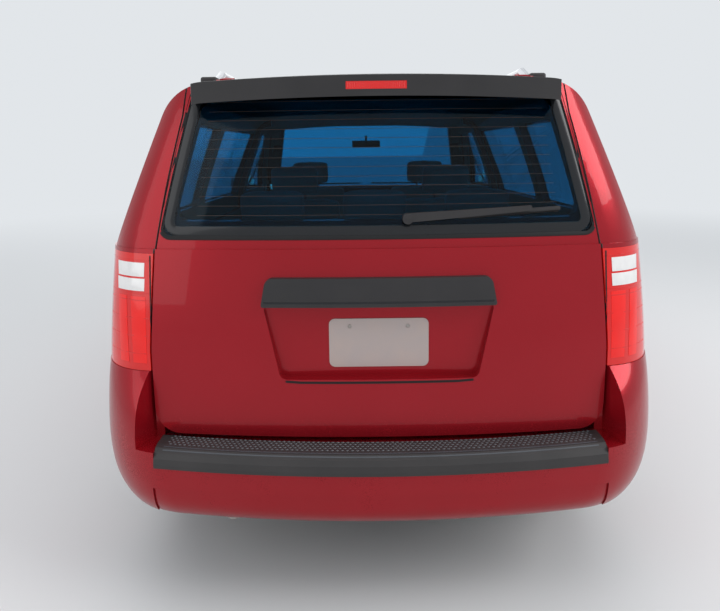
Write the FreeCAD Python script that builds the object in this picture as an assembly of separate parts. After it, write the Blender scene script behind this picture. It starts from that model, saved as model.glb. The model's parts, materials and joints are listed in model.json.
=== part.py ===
"""A full-size family minivan with sliding side doors, as an assembly of separate pieces.

Frame: millimetres, +Z up, the ground at Z 0, the nose towards -Y and the tail towards +Y, +X the left side.
The body is one smooth form, made by lofts of plan outlines and capped by lofted crowns.
Its shell is split where the real panels meet, and each piece is a solid of its own.
"""
import FreeCAD, Part

import math
import os
from functools import lru_cache

from FreeCAD import Vector

# Whole vehicle
LENGTH = 5143.0
BODY_WIDTH = 1953.0
RAIL_TOP_Z = 1750.0
WHEELBASE = 3078.0
FRONT_OVERHANG = 970.0
NOSE_Y = -LENGTH / 2
TAIL_Y = LENGTH / 2
FRONT_AXLE_Y = NOSE_Y + FRONT_OVERHANG
REAR_AXLE_Y = FRONT_AXLE_Y + WHEELBASE

# Wheels
TYRE_R = 349.5
TYRE_WIDTH = 225.0
RIM_R = 203.0
FLANGE_R = 217.0
TYRE_FACETS = 60
WHEEL_X = 824.0
ARCH_R = 402.0
ARCH_LIFT = 8.0
HOUSING_GAP = 22.0
FRONT_HOUSING_X = 505.0
REAR_HOUSING_X = 662.0
HOUSING_WALL = 6.0

# Walls and gaps
WALL = 70.0
PILLAR_WALL = 45.0
ROOF_WALL = 38.0
SKIN = 14.0
HOOD_WALL = 26.0
GLASS = 5.0
GLASS_SINK = 3.0
SEAT = 0.3
SHUT_GAP = 6.0
MOVING_GAP = 7.0

# Side split lines
SILL_Z = 255.0
DOOR_SILL_Z = 300.0
DOOR_TOP_Z = 1600.0
DOOR_FRONT_Y = -1085.0
PILLAR_Y = -5.0
SLIDING_REAR_Y = 1075.0
FENDER_FRONT_Y = -2060.0
HINGE_POST_Y = -1190.0
BELT_FRONT_Y = -1100.0
BELT_FRONT_Z = 1085.0
BELT_REAR_Z = 1140.0
BELT_REAR_Y = 2430.0

# Gate, hood and roof split lines
GATE_TOP_Y = 2205.0
GATE_BOTTOM_Z = 562.0
HOOD_FRONT_Y = -2478.0
HOOD_REAR_Y = -1575.0
ROOF_HALF = 655.0
HEADER_Y = -560.0
LAMP_LOW_Z = 762.0
LAMP_TOP_Z = 1125.0

# Hinges and steering
DOOR_HINGE_X = 920.0
DOOR_HINGE_Y = DOOR_FRONT_Y - 40.0
DOOR_HINGE_ZS = (470.0, 880.0)
DOOR_HINGE_H = 60.0
DOOR_EYE_R = 11.5
DOOR_PIN_R = 6.0
DOOR_BEVEL = 18.0
GATE_HINGE_X = 480.0
GATE_HINGE_Y = 2186.0
GATE_HINGE_Z = 1664.0
GATE_PIN_R = 5.0
HOOD_HINGE_X = 716.0
HOOD_HINGE_Y = -1490.0
HOOD_HINGE_Z = 1040.0
HOOD_PIN_R = 6.0
KING_FOOT = (760.0, FRONT_AXLE_Y, 215.0)
KING_SLOPE = 0.22
KING_PIN_R = 9.0
STRUT_R = 16.0
TOWER_R = 76.0
TOWER_TOP_Z = 892.0
SPRING_R = 58.0
HUB_X = 845.0
SPINDLE_R = 20.0
SPOKES = 7

# Tail and roof fittings
PLATE_SPACING = 177.8
PLATE_HOLE_R = 3.2
PLATE_Z = 900.0
SPOILER_HALF = 575.0
SPOILER_Y = 2372.0
WIPER_X = -90.0
WIPER_Z = 1228.0
RAIL_X = 596.0
RAIL_R = 15.0
RAIL_Z = RAIL_TOP_Z - RAIL_R
BUMPER_TOP_Z = 545.0
BUMPER_LOW_Z = 330.0
BUMPER_FRONT_Y = 2130.3
BUMPER_ARC = 3800.0
LEDGE = 32.0
BUMPER_SIDE_Z = 577.0
PAD_HALF = 680.0
PAD_THICK = 9.0
PAD_EDGE_R = 45.0
PAD_LOW_Z = 498.0
SEAM_X = 732.0
CREASE_HALF = 690.0
CREASE_Z = 427.0

# Cabin and chassis
STEER_X = 400.0
STEER_LEAN = math.degrees(math.atan2(90, 45))
RAIL_IN = 430.0
RAIL_OUT = 498.0

SIDE_ARC = 35000.0
SIDE_MIDDLE_Y = -100.0

# Columns: height, half width, nose, tail, nose arc, nose corner, tail arc, tail corner
LOWER_BODY = (
    (225.0, 925.0, -2505.0, 2425.0, 2600.0, 330.0, 5000.0, 210.0),
    (420.0, 962.0, NOSE_Y + 11.4, 2445.0, 2600.0, 330.0, 5000.0, 210.0),
    (640.0, BODY_WIDTH / 2, NOSE_Y + 11.4, 2458.0, 2600.0, 330.0, 5000.0, 210.0),
    (880.0, 970.0, -2495.0, 2450.0, 2600.0, 330.0, 5000.0, 210.0),
    (1200.0, 947.0, -2360.0, 2415.0, 2600.0, 330.0, 5000.0, 210.0),
)
GREENHOUSE = (
    (1040.0, 957.0, -1605.0, 2423.0, 1700.0, 120.0, 5000.0, 200.0),
    (1250.0, 921.0, -1275.0, 2393.0, 1850.0, 110.0, 5000.0, 200.0),
    (1450.0, 851.0, -960.0, 2345.0, 2050.0, 100.0, 5000.0, 190.0),
    (1620.0, 790.0, -695.0, 2290.0, 2300.0, 100.0, 5000.0, 180.0),
    (1760.0, 738.0, -480.0, 2235.0, 2500.0, 100.0, 5000.0, 180.0),
)
REAR_BUMPER = (
    (320.0, 915.0, -2000.0, 2515.0, 2600.0, 330.0, BUMPER_ARC, 260.0),
    (420.0, 964.0, -2000.0, 2561.0, 2600.0, 330.0, BUMPER_ARC, 290.0),
    (540.0, 980.0, -2000.0, TAIL_Y - 2, 2600.0, 330.0, BUMPER_ARC, 300.0),
    (680.0, 981.0, -2000.0, 2545.0, 2600.0, 330.0, BUMPER_ARC, 290.0),
    (LAMP_LOW_Z, 978.0, -2000.0, 2460.0, 2600.0, 330.0, 5000.0, 214.0),
    (820.0, 976.0, -2000.0, 2425.0, 2600.0, 330.0, 5000.0, 210.0),
)
# Columns: station, crown height, half width where the shoulder starts
HOOD_CROWN = (
    (-2750.0, 720.0, 780.0),
    (-2480.0, 838.0, 800.0),
    (-2000.0, 972.0, 820.0),
    (HOOD_REAR_Y, 1062.0, 820.0),
    (-1200.0, 1180.0, 820.0),
    (-900.0, 1300.0, 820.0),
)
ROOF_CROWN = (
    (-1750.0, 1330.0, 860.0),
    (-900.0, 1580.0, 750.0),
    (-500.0, 1662.0, 650.0),
    (100.0, 1703.0, 650.0),
    (900.0, 1722.0, 650.0),
    (1700.0, 1708.0, 615.0),
    (2190.0, 1676.0, 560.0),
    (2600.0, 1598.0, 500.0),
)
HOOD_ARC = 5000.0
HOOD_SHOULDER = (100.0, 72.0)
ROOF_ARC = 8000.0
ROOF_SHOULDER = (160.0, 68.0)


def outline(corners, place):
    """Closed wire of lines and tangent arcs. Columns of corners: u, v, corner radius."""
    ends = []
    count = len(corners)
    for i, (u, v, radius) in enumerate(corners):
        here = Vector(u, v, 0)
        back = (Vector(*corners[i - 1][:2], 0) - here).normalize()
        on = (Vector(*corners[(i + 1) % count][:2], 0) - here).normalize()
        half = back.getAngle(on) / 2
        reach = radius / math.tan(half)
        inward = (back + on).normalize() if half < 1.5707 else back
        middle = here + inward * (radius / math.sin(half) - radius)
        ends.append((here + back * reach, middle, here + on * reach, radius))
    edges = []
    for i, (start, middle, end, radius) in enumerate(ends):
        if radius > 0:
            edges.append(Part.Arc(place(start), place(middle), place(end)).toShape())
        following = ends[(i + 1) % count][0]
        if (end - following).Length > 1e-6:
            edges.append(Part.LineSegment(place(end), place(following)).toShape())
    return Part.Wire(edges)


def grown(corners, by):
    """The corners of a convex outline, moved out by a distance."""
    count = len(corners)
    area = sum(corners[i - 1][0] * corners[i][1] - corners[i][0] * corners[i - 1][1] for i in range(count))
    turn = 1 if area > 0 else -1
    lines = []
    for i in range(count):
        a = Vector(*corners[i][:2], 0)
        along = (Vector(*corners[(i + 1) % count][:2], 0) - a).normalize()
        out = Vector(along.y, -along.x, 0) * turn
        lines.append((a + out * by, along))
    moved = []
    for i in range(count):
        (a, along), (b, other) = lines[i - 1], lines[i]
        cross = along.x * other.y - along.y * other.x
        step = ((b.x - a.x) * other.y - (b.y - a.y) * other.x) / cross
        corner = a + along * step
        moved.append((corner.x, corner.y, max(corners[i][2] + by, 0.0)))
    return moved


def side_prism(corners, x0, x1):
    """A side-view outline, y and z, drawn out from x0 to x1."""
    face = Part.Face(outline(corners, lambda p: Vector(x0, p.x, p.y)))
    return face.extrude(Vector(x1 - x0, 0, 0))


def rear_prism(corners, y0, y1):
    """A rear-view outline, x and z, drawn out from y0 to y1."""
    face = Part.Face(outline(corners, lambda p: Vector(p.x, y0, p.y)))
    return face.extrude(Vector(0, y1 - y0, 0))


def plan_prism(corners, z0, z1):
    """A plan outline, x and y, drawn up from z0 to z1."""
    face = Part.Face(outline(corners, lambda p: Vector(p.x, p.y, z0)))
    return face.extrude(Vector(0, 0, z1 - z0))


def box(x0, x1, y0, y1, z0, z1):
    return Part.makeBox(x1 - x0, y1 - y0, z1 - z0, Vector(x0, y0, z0))


def rod(start, end, radius):
    """A round bar between two points."""
    a, b = Vector(*start), Vector(*end)
    return Part.makeCylinder(radius, (b - a).Length, a, b - a)


def turned(profile, axis=Vector(1, 0, 0)):
    """A closed profile of x and radius, turned about the x axis."""
    points = [Vector(x, 0, radius) for x, radius in profile]
    face = Part.Face(Part.makePolygon(points + points[:1]))
    return face.revolve(Vector(0, 0, 0), axis, 360)


def mirrored(shape):
    """The same piece on the other side of the vehicle."""
    return shape.mirror(Vector(0, 0, 0), Vector(1, 0, 0))


def both(shape):
    return Part.makeCompound([shape, mirrored(shape)])


def joined(pieces):
    """One solid from pieces that touch or overlap."""
    return pieces[0].multiFuse(pieces[1:]).removeSplitter()


def circles_meet(c1, r1, c2, r2, lowest):
    """Where two circles in plan meet, the point nearer the nose or the tail."""
    apart = c2 - c1
    length = apart.Length
    along = (r1 * r1 - r2 * r2 + length * length) / (2 * length)
    across = math.sqrt(r1 * r1 - along * along)
    unit = apart * (1 / length)
    normal = Vector(-unit.y, unit.x, 0)
    found = (c1 + unit * along + normal * across, c1 + unit * along - normal * across)
    return min(found, key=lambda p: p.y) if lowest else max(found, key=lambda p: p.y)


def plan_wire(row, inset, middle_y):
    """One plan outline of eight tangent arcs, moved in by a distance."""
    z, half, nose, tail, nose_arc, nose_corner, tail_arc, tail_corner = row
    side = Vector(half - SIDE_ARC, middle_y, 0)
    ends = []
    for tip, arc, corner, is_nose in ((nose, nose_arc, nose_corner, True), (tail, tail_arc, tail_corner, False)):
        centre = Vector(0, tip + (arc if is_nose else -arc), 0)
        bend = circles_meet(centre, arc - corner, side, SIDE_ARC - corner, is_nose)
        to_end = (bend - centre).normalize()
        to_side = (bend - side).normalize()
        radius = corner - inset
        ends.append((bend + to_end * radius, bend + (to_end + to_side).normalize() * radius, bend + to_side * radius))
    (n1, nm, n2), (t1, tm, t2) = ends

    def at(p, side_sign=1):
        return Vector(p.x * side_sign, p.y, z)

    nose_tip = Vector(0, nose + inset, 0)
    tail_tip = Vector(0, tail - inset, 0)
    widest = Vector(half - inset, middle_y, 0)
    arcs = (
        (at(n1, -1), at(nose_tip), at(n1)),
        (at(n1), at(nm), at(n2)),
        (at(n2), at(widest), at(t2)),
        (at(t2), at(tm), at(t1)),
        (at(t1), at(tail_tip), at(t1, -1)),
        (at(t1, -1), at(tm, -1), at(t2, -1)),
        (at(t2, -1), at(widest, -1), at(n2, -1)),
        (at(n2, -1), at(nm, -1), at(n1, -1)),
    )
    return Part.Wire([Part.Arc(*points).toShape() for points in arcs])


@lru_cache(maxsize=None)
def stack(table, inset=0.0, middle_y=SIDE_MIDDLE_Y):
    """A loft through the plan outlines of a table."""
    return Part.makeLoft([plan_wire(row, inset, middle_y) for row in table], True, False)


def crown_wire(y, top, start, arc, shoulder, base):
    """One cross-section under a crown: flat base, upright sides, rounded shoulders and a crowned top."""
    radius, end_deg = shoulder
    first = math.asin(start / arc)
    last = math.radians(end_deg)
    centre = Vector((arc - radius) * math.sin(first), y, top - arc + (arc - radius) * math.cos(first))

    def on(angle):
        return centre + Vector(radius * math.sin(angle), 0, radius * math.cos(angle))

    def flip(p):
        return Vector(-p.x, p.y, p.z)

    wide = BODY_WIDTH / 2 + 200
    p1, pm, p2 = on(first), on((first + last) / 2), on(last)
    p3 = Vector(wide, y, p2.z - (wide - p2.x) * math.tan(last))
    p4 = Vector(wide, y, base)
    line = Part.LineSegment
    curves = (
        Part.Arc(flip(p1), Vector(0, y, top), p1),
        Part.Arc(p1, pm, p2),
        line(p2, p3),
        line(p3, p4),
        line(p4, flip(p4)),
        line(flip(p4), flip(p3)),
        line(flip(p3), flip(p2)),
        Part.Arc(flip(p2), flip(pm), flip(p1)),
    )
    return Part.Wire([curve.toShape() for curve in curves])


@lru_cache(maxsize=None)
def crown(table, arc, shoulder, drop=0.0):
    """Everything under a crowned surface, lowered by a distance."""
    base = -600.0
    wires = [crown_wire(y, top - drop, start, arc, shoulder, base) for y, top, start in table]
    return Part.makeLoft(wires, True, False)


def belt_z(y):
    """Height of the belt line at a station."""
    share = (y - BELT_FRONT_Y) / (BELT_REAR_Y - BELT_FRONT_Y)
    return BELT_FRONT_Z + share * (BELT_REAR_Z - BELT_FRONT_Z)


@lru_cache(maxsize=None)
def lower_form(inset, drop):
    """The body below the belt line, moved in by a distance, with its top lowered by another."""
    hood = crown(HOOD_CROWN, HOOD_ARC, HOOD_SHOULDER, drop)
    cabin = box(-1500, 1500, BELT_FRONT_Y, 3000, 0, 1500)
    top = ((-3000, 0, 0), (3000, 0, 0), (3000, belt_z(3000) - drop, 0), (-3000, belt_z(-3000) - drop, 0))
    return stack(LOWER_BODY, inset).common(hood.fuse(cabin)).common(side_prism(top, -1500, 1500))


@lru_cache(maxsize=None)
def upper_form(inset, drop):
    """The greenhouse and roof, moved in by a distance, with its top lowered by another."""
    return stack(GREENHOUSE, inset).common(crown(ROOF_CROWN, ROOF_ARC, ROOF_SHOULDER, drop))


@lru_cache(maxsize=None)
def cabin_form(low_inset, high_inset, drop):
    """The hollow of the cabin for a wall thickness below the belt, one above it and one of the roof."""
    low = stack(LOWER_BODY, low_inset).common(box(-1500, 1500, -1600, 3000, 0, 1130))
    step_z = GREENHOUSE[0][0] + low_inset - WALL
    return low.fuse(upper_form(high_inset, drop).common(box(-1500, 1500, -2000, 3000, step_z, 2000)))


def wheel_bore(axle_y, radius, x0, x1):
    return Part.makeCylinder(radius, x1 - x0, Vector(x0, axle_y, TYRE_R + ARCH_LIFT), Vector(1, 0, 0))


# Side-view outlines, columns: y, z, corner radius
FRONT_DOOR = (
    (DOOR_FRONT_Y, DOOR_SILL_Z, 50),
    (200.0, DOOR_SILL_Z, 0),
    (200.0, DOOR_TOP_Z, 0),
    (-425.0, DOOR_TOP_Z, 80),
    (DOOR_FRONT_Y, 1112.0, 20),
)
FRONT_WINDOW = (
    (-985.0, 1128.0, 15),
    (PILLAR_Y - 62, 1140.0, 30),
    (PILLAR_Y - 62, DOOR_TOP_Z - 48, 25),
    (-440.0, DOOR_TOP_Z - 48, 60),
)
SLIDING_DOOR = (
    (-200.0, DOOR_SILL_Z, 0),
    (SLIDING_REAR_Y, DOOR_SILL_Z, 90),
    (SLIDING_REAR_Y, DOOR_TOP_Z, 30),
    (-200.0, DOOR_TOP_Z, 0),
)
DOOR_OPENING = (
    (DOOR_FRONT_Y, DOOR_SILL_Z, 50),
    (SLIDING_REAR_Y, DOOR_SILL_Z, 0),
    (SLIDING_REAR_Y, DOOR_TOP_Z, 0),
    (-425.0, DOOR_TOP_Z, 80),
    (DOOR_FRONT_Y, 1112.0, 20),
)
SLIDING_WINDOW = (
    (PILLAR_Y + 62, 1142.0, 30),
    (SLIDING_REAR_Y - 52, 1160.0, 30),
    (SLIDING_REAR_Y - 52, DOOR_TOP_Z - 48, 30),
    (PILLAR_Y + 62, DOOR_TOP_Z - 48, 30),
)
QUARTER_WINDOW = (
    (SLIDING_REAR_Y + 52, 1162.0, 30),
    (2130.0, 1180.0, 45),
    (1985.0, DOOR_TOP_Z - 50, 90),
    (SLIDING_REAR_Y + 52, DOOR_TOP_Z - 48, 30),
)
TAIL_LAMP = (
    (2215.0, LAMP_LOW_Z, 10),
    (3000.0, LAMP_LOW_Z, 0),
    (3000.0, LAMP_TOP_Z, 0),
    (2205.0, LAMP_TOP_Z, 10),
)
# Rear-view half outlines, columns: x, z, corner radius
GATE_HALF = (
    (697.0, GATE_BOTTOM_Z, 80),
    (704.0, 830.0, 300),
    (693.0, 1140.0, 90),
    (633.0, 1550.0, 90),
    (636.0, 1900.0, 0),
)
GATE_GLASS_HALF = (
    (678.0, 1172.0, 30),
    (578.0, 1640.0, 40),
)
GATE_HOLE_HALF = (
    (634.0, 1222.0, 40),
    (544.0, 1592.0, 40),
)
GARNISH_HALF = (
    (355.0, 970.0, 6),
    (340.0, 1056.0, 26),
)
RECESS_HALF = (
    (300.0, 745.0, 24),
    (350.0, 966.0, 8),
)
WINDSCREEN_HALF = (
    (800.0, 1092.0, 40),
    (640.0, 1618.0, 50),
)
HEADLAMP = (
    (430.0, 655.0, 20),
    (1100.0, 700.0, 0),
    (1100.0, 860.0, 0),
    (440.0, 795.0, 20),
)
GRILLE_HALF = (
    (350.0, 545.0, 30),
    (410.0, 600.0, 30),
    (410.0, 782.0, 30),
)
INTAKE_HALF = (
    (330.0, 325.0, 25),
    (370.0, 440.0, 25),
)
# Half plan outline of the hood, columns: x, y, corner radius
HOOD_HALF = (
    (640.0, HOOD_FRONT_Y, 60),
    (760.0, HOOD_REAR_Y, 30),
)
# Where the skin is at the front door's leading edge, columns: z, x
DOOR_EDGE_SKIN = (
    (200.0, 907.0),
    (420.0, 948.0),
    (640.0, 962.5),
    (880.0, 956.0),
    (1120.0, 939.0),
    (1200.0, 933.0),
)
FAR = 3000.0
WIDE = 1300.0
SPLIT_X = 500.0
DOOR_MIN_X = ROOF_HALF + SHUT_GAP
PILLAR_LEAN = 0.18
GATE_LEAN = 0.2
GATE_SIDE_Y = 2405.0
PILLAR_GAP = 6.0
PILLAR_INNER = 34.0
COWL_HALF = 770.0
POST_FRONT_Y = HINGE_POST_Y
FIREWALL = 25.0
FLOOR_TOP = 395.0
FLOOR_THICK = 50.0
UPSTAND = WALL + PILLAR_GAP + PILLAR_INNER

LOW_OUTER = lower_form(0, 0)
HIGH_OUTER = upper_form(0, 0)
OUTER = LOW_OUTER.fuse(HIGH_OUTER)
INNER = cabin_form(WALL, PILLAR_WALL, ROOF_WALL)
SHELL = OUTER.cut(INNER)
DOOR_INNER = cabin_form(WALL + PILLAR_GAP, PILLAR_WALL + PILLAR_GAP, ROOF_WALL + PILLAR_GAP)
TRIM_INNER = cabin_form(UPSTAND, PILLAR_WALL + PILLAR_GAP + PILLAR_INNER, ROOF_WALL + PILLAR_GAP + PILLAR_INNER)
FLOOR_FORM = stack(LOWER_BODY, UPSTAND + SEAT)
NOSE_SKIN = LOW_OUTER.common(box(-WIDE, WIDE, -FAR, DOOR_FRONT_Y - SHUT_GAP, 0, 1500)).cut(lower_form(SKIN, SKIN))
GLASS_SHELL = upper_form(GLASS_SINK, GLASS_SINK).cut(upper_form(GLASS_SINK + GLASS, GLASS_SINK + GLASS))
SEATED = lower_form(-SEAT, -SEAT).fuse(upper_form(-SEAT, -SEAT))
HIGH_INNER_LOW = upper_form(PILLAR_WALL, ROOF_WALL)
HOUSING_R = ARCH_R + HOUSING_GAP


def mirrored_pair(half, grow=0.0):
    """A full rear-view outline from the +x half, given from bottom to top, moved out by a distance."""
    full = list(half) + [(-u, v, radius) for u, v, radius in reversed(half)]
    return grown(full, grow) if grow else full


def gate_region(grow):
    """Everything that opens with the gate. It narrows going forward, so that the gate clears its frame."""
    start = GATE_TOP_Y - grow
    full = mirrored_pair(GATE_HALF, grow)
    wires = []
    for y in (start, TAIL_Y + 100):
        less = GATE_LEAN * (GATE_SIDE_Y - y)
        corners = [(u - less * math.copysign(1, u), v, radius) for u, v, radius in full]
        wires.append(outline(corners, lambda p: Vector(p.x, y, p.y)))
    return Part.makeLoft(wires, True, True)


def front_of_pillar(y_at_skin):
    """Everything ahead of the joint between the two side doors. It leans forward going inboard."""
    wires = []
    for z, skin_x in ((100, 949), (1100, 949), (1900, 748)):
        rear = [(x, y_at_skin + PILLAR_LEAN * (x - skin_x)) for x in (WIDE, SPLIT_X)]
        points = [Vector(x, y, z) for x, y in [(SPLIT_X, -FAR), (WIDE, -FAR)] + rear]
        wires.append(Part.makePolygon(points + points[:1]))
    return Part.makeLoft(wires, True, True)


def hood_region(grow):
    corners = grown(HOOD_HALF + tuple((-x, y, radius) for x, y, radius in reversed(HOOD_HALF)), grow)
    return plan_prism(corners, 600, 1400)


def hood_room():
    """What the pieces round the hood leave free for it: the hood's thickness and the gaps round and below it."""
    return hood_region(MOVING_GAP).cut(crown(HOOD_CROWN, HOOD_ARC, HOOD_SHOULDER, HOOD_WALL + MOVING_GAP))


def hinge_arm(z):
    """The door half of a hinge: an eye and a cranked arm that reaches the door's front face."""
    tall = DOOR_HINGE_H - 24
    low = z - tall / 2
    eye = Part.makeCylinder(DOOR_EYE_R, tall, Vector(DOOR_HINGE_X, DOOR_HINGE_Y, low))
    arm = box(DOOR_HINGE_X - 36, DOOR_HINGE_X, DOOR_HINGE_Y - 5, DOOR_HINGE_Y + 5, low, low + tall)
    reach = box(DOOR_HINGE_X - 40, DOOR_HINGE_X - 30, DOOR_HINGE_Y - 5, DOOR_FRONT_Y + DOOR_BEVEL + 10, low, low + tall)
    bore = Part.makeCylinder(DOOR_PIN_R + SEAT, tall + 2, Vector(DOOR_HINGE_X, DOOR_HINGE_Y, low - 1))
    return joined([eye, arm, reach]).cut(bore)


def hinge_pocket(z):
    """Room for one hinge arm and its swing."""
    return box(DOOR_HINGE_X - 54, WIDE, DOOR_HINGE_Y - 20, DOOR_FRONT_Y + 4, z - DOOR_HINGE_H / 2, z + DOOR_HINGE_H / 2)


def hinge_pin(z):
    start = Vector(DOOR_HINGE_X, DOOR_HINGE_Y, z - DOOR_HINGE_H / 2 - 10)
    return Part.makeCylinder(DOOR_PIN_R, DOOR_HINGE_H + 20, start)


def door_front_cut():
    """What the front door's leading face gives up: a bevel from the skin, then a face set back."""
    wires = []
    set_back = DOOR_FRONT_Y + DOOR_BEVEL
    for z, skin_x in DOOR_EDGE_SKIN:
        points = ((WIDE, -FAR), (WIDE, DOOR_FRONT_Y - 1), (skin_x + 1, DOOR_FRONT_Y - 1), (skin_x - DOOR_BEVEL, set_back),
                  (SPLIT_X, set_back), (SPLIT_X, -FAR))
        corners = [Vector(x, y, z) for x, y in points]
        wires.append(Part.makePolygon(corners + corners[:1]))
    return Part.makeLoft(wires, True, True)


def arch_cuts():
    """What the wheel arches take out of the pieces round them."""
    cuts = [wheel_bore(y, ARCH_R, 300, WIDE) for y in (FRONT_AXLE_Y, REAR_AXLE_Y)]
    liner = HOUSING_R + HOUSING_WALL + SEAT
    for y, x0, depth in ((FRONT_AXLE_Y, FRONT_HOUSING_X, SKIN), (REAR_AXLE_Y, REAR_HOUSING_X, WALL)):
        inner = stack(LOWER_BODY, depth).common(box(x0 - SEAT, WIDE, y - 500, y + 500, 0, 1000))
        cuts.append(wheel_bore(y, liner, x0 - SEAT, WIDE).common(inner))
    return cuts


def side_frame():
    """Left pillars, sill, roof rail and rear quarter as one frame with its door openings."""
    side = side_prism((
        (POST_FRONT_Y, SILL_Z, 0), (FAR, SILL_Z, 0), (FAR, 1900, 0), (-900, 1900, 0),
        (-1750, 1040, 0), (POST_FRONT_Y, 1040, 0)), 0, WIDE)
    frame = OUTER.common(side).cut(TRIM_INNER)
    thin = box(0, WIDE, -FAR, PILLAR_Y - 50, FLOOR_TOP, 2000).fuse(box(0, WIDE, PILLAR_Y + 55, FAR, FLOOR_TOP, 2000))
    frame = frame.cut(INNER.common(thin))
    front_hole = side_prism(grown(DOOR_OPENING, SHUT_GAP), SPLIT_X, WIDE).common(box(0, WIDE, -FAR, 0, 0, 2000))
    rear_hole = side_prism(grown(SLIDING_DOOR, SEAT), SPLIT_X, WIDE).common(box(0, WIDE, -0.1, FAR, 0, 2000))
    frame = biggest(frame.cut(front_hole.cut(DOOR_INNER)).cut(rear_hole.cut(DOOR_INNER)))
    ahead = box(0, WIDE, -FAR, DOOR_FRONT_Y - SHUT_GAP + SEAT, 0, 1500)
    fender_band = stack(LOWER_BODY, -5).cut(stack(LOWER_BODY, SKIN + SEAT)).common(ahead)
    belt_slab = LOW_OUTER.common(box(0, WIDE, -FAR, POST_FRONT_Y, 0, 1500))
    tools = [
        box(0, ROOF_HALF, -1000, GATE_TOP_Y - SHUT_GAP + SEAT, 1500, 1900),
        rear_prism(mirrored_pair(WINDSCREEN_HALF, SEAT), -2000, HEADER_Y),
        box(0, COWL_HALF, -FAR, POST_FRONT_Y, 1000, 1110),
        fender_band,
        belt_slab,
        side_prism(QUARTER_WINDOW, SPLIT_X, WIDE),
        gate_region(SHUT_GAP),
        side_prism(grown(TAIL_LAMP, SEAT), 0, WIDE),
        box(0, WIDE, 2130, FAR, 0, BUMPER_SIDE_Z),
        box(0, WIDE, 2214.7, FAR, 0, LAMP_LOW_Z + 20),
    ] + arch_cuts() + [hinge_pocket(z) for z in DOOR_HINGE_ZS]
    for tool in tools:
        frame = frame.cut(tool)
    return joined([biggest(frame)] + [hinge_pin(z) for z in DOOR_HINGE_ZS])


def mitred_pipe(points, radius):
    """A round bar along straight runs with mitred corners."""
    route = [Vector(*p) for p in points]
    path = Part.Wire([Part.makeLine(a, b) for a, b in zip(route, route[1:])])
    ring = Part.Wire(Part.makeCircle(radius, route[0], route[1] - route[0]))
    return path.makePipeShell([ring], True, False, 1)


def biggest(shape):
    """The largest solid, without slivers."""
    return max(shape.Solids, key=lambda solid: solid.Volume)


def front_door():
    """Left front door, one thickness with its window opening, its handle and its hinge arms."""
    panel = SHELL.common(side_prism(FRONT_DOOR, DOOR_MIN_X, WIDE)).common(front_of_pillar(PILLAR_Y - 3))
    panel = biggest(panel.cut(side_prism(FRONT_WINDOW, SPLIT_X, WIDE)).cut(door_front_cut()))
    handle = stack(LOWER_BODY, -22).cut(stack(LOWER_BODY, 8)).common(side_prism(handle_outline(-210), SPLIT_X, WIDE))
    return joined([panel, handle] + [hinge_arm(z) for z in DOOR_HINGE_ZS])


def handle_outline(y):
    return ((y, 925, 10), (y + 170, 929, 10), (y + 170, 957, 12), (y, 953, 12))


def sliding_door():
    """Left sliding door with its window opening and its handle."""
    panel = SHELL.common(side_prism(SLIDING_DOOR, DOOR_MIN_X, WIDE)).cut(front_of_pillar(PILLAR_Y + 3))
    panel = biggest(panel.cut(side_prism(SLIDING_WINDOW, SPLIT_X, WIDE)))
    handle = stack(LOWER_BODY, -22).cut(stack(LOWER_BODY, 8)).common(side_prism(handle_outline(40), SPLIT_X, WIDE))
    return joined([panel, handle])


def side_pane(corners):
    return biggest(GLASS_SHELL.common(side_prism(grown(corners, -SEAT), SPLIT_X, WIDE)))


def mirror():
    """Left door mirror: a rounded head on a foot."""
    head = rear_prism(((985, 1100, 45), (1160, 1095, 50), (1165, 1228, 55), (985, 1235, 40)), -1060, -950)
    head = head.common(plan_prism(((975, -1050, 40), (1175, -1010, 60), (1175, -958, 20), (975, -958, 10)), 1000, 1300))
    foot = rear_prism(((880, 1070, 8), (1010, 1100, 10), (1010, 1150, 10), (880, 1125, 8)), -1035, -975)
    return biggest(joined([head, foot]).cut(SEATED))


def windshield():
    return biggest(GLASS_SHELL.common(rear_prism(mirrored_pair(WINDSCREEN_HALF), -2000, HEADER_Y)))


def roof_panel():
    """The roof between the side frames, with the header and the pockets of the gate's hinges."""
    panel = SHELL.common(box(-ROOF_HALF + SEAT, ROOF_HALF - SEAT, -1000, GATE_TOP_Y - SHUT_GAP, 1500, 1900))
    panel = panel.cut(rear_prism(mirrored_pair(WINDSCREEN_HALF, SEAT), -2000, HEADER_Y)).cut(gate_region(SHUT_GAP))
    panel = biggest(panel)
    for x in (-GATE_HINGE_X, GATE_HINGE_X):
        panel = panel.cut(box(x - 30, x + 30, GATE_HINGE_Y - 20, FAR, GATE_HINGE_Z - 16, 1900))
    pins = [rod((x - 40, GATE_HINGE_Y, GATE_HINGE_Z), (x + 40, GATE_HINGE_Y, GATE_HINGE_Z), GATE_PIN_R)
            for x in (-GATE_HINGE_X, GATE_HINGE_X)]
    return joined([panel] + pins)


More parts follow.
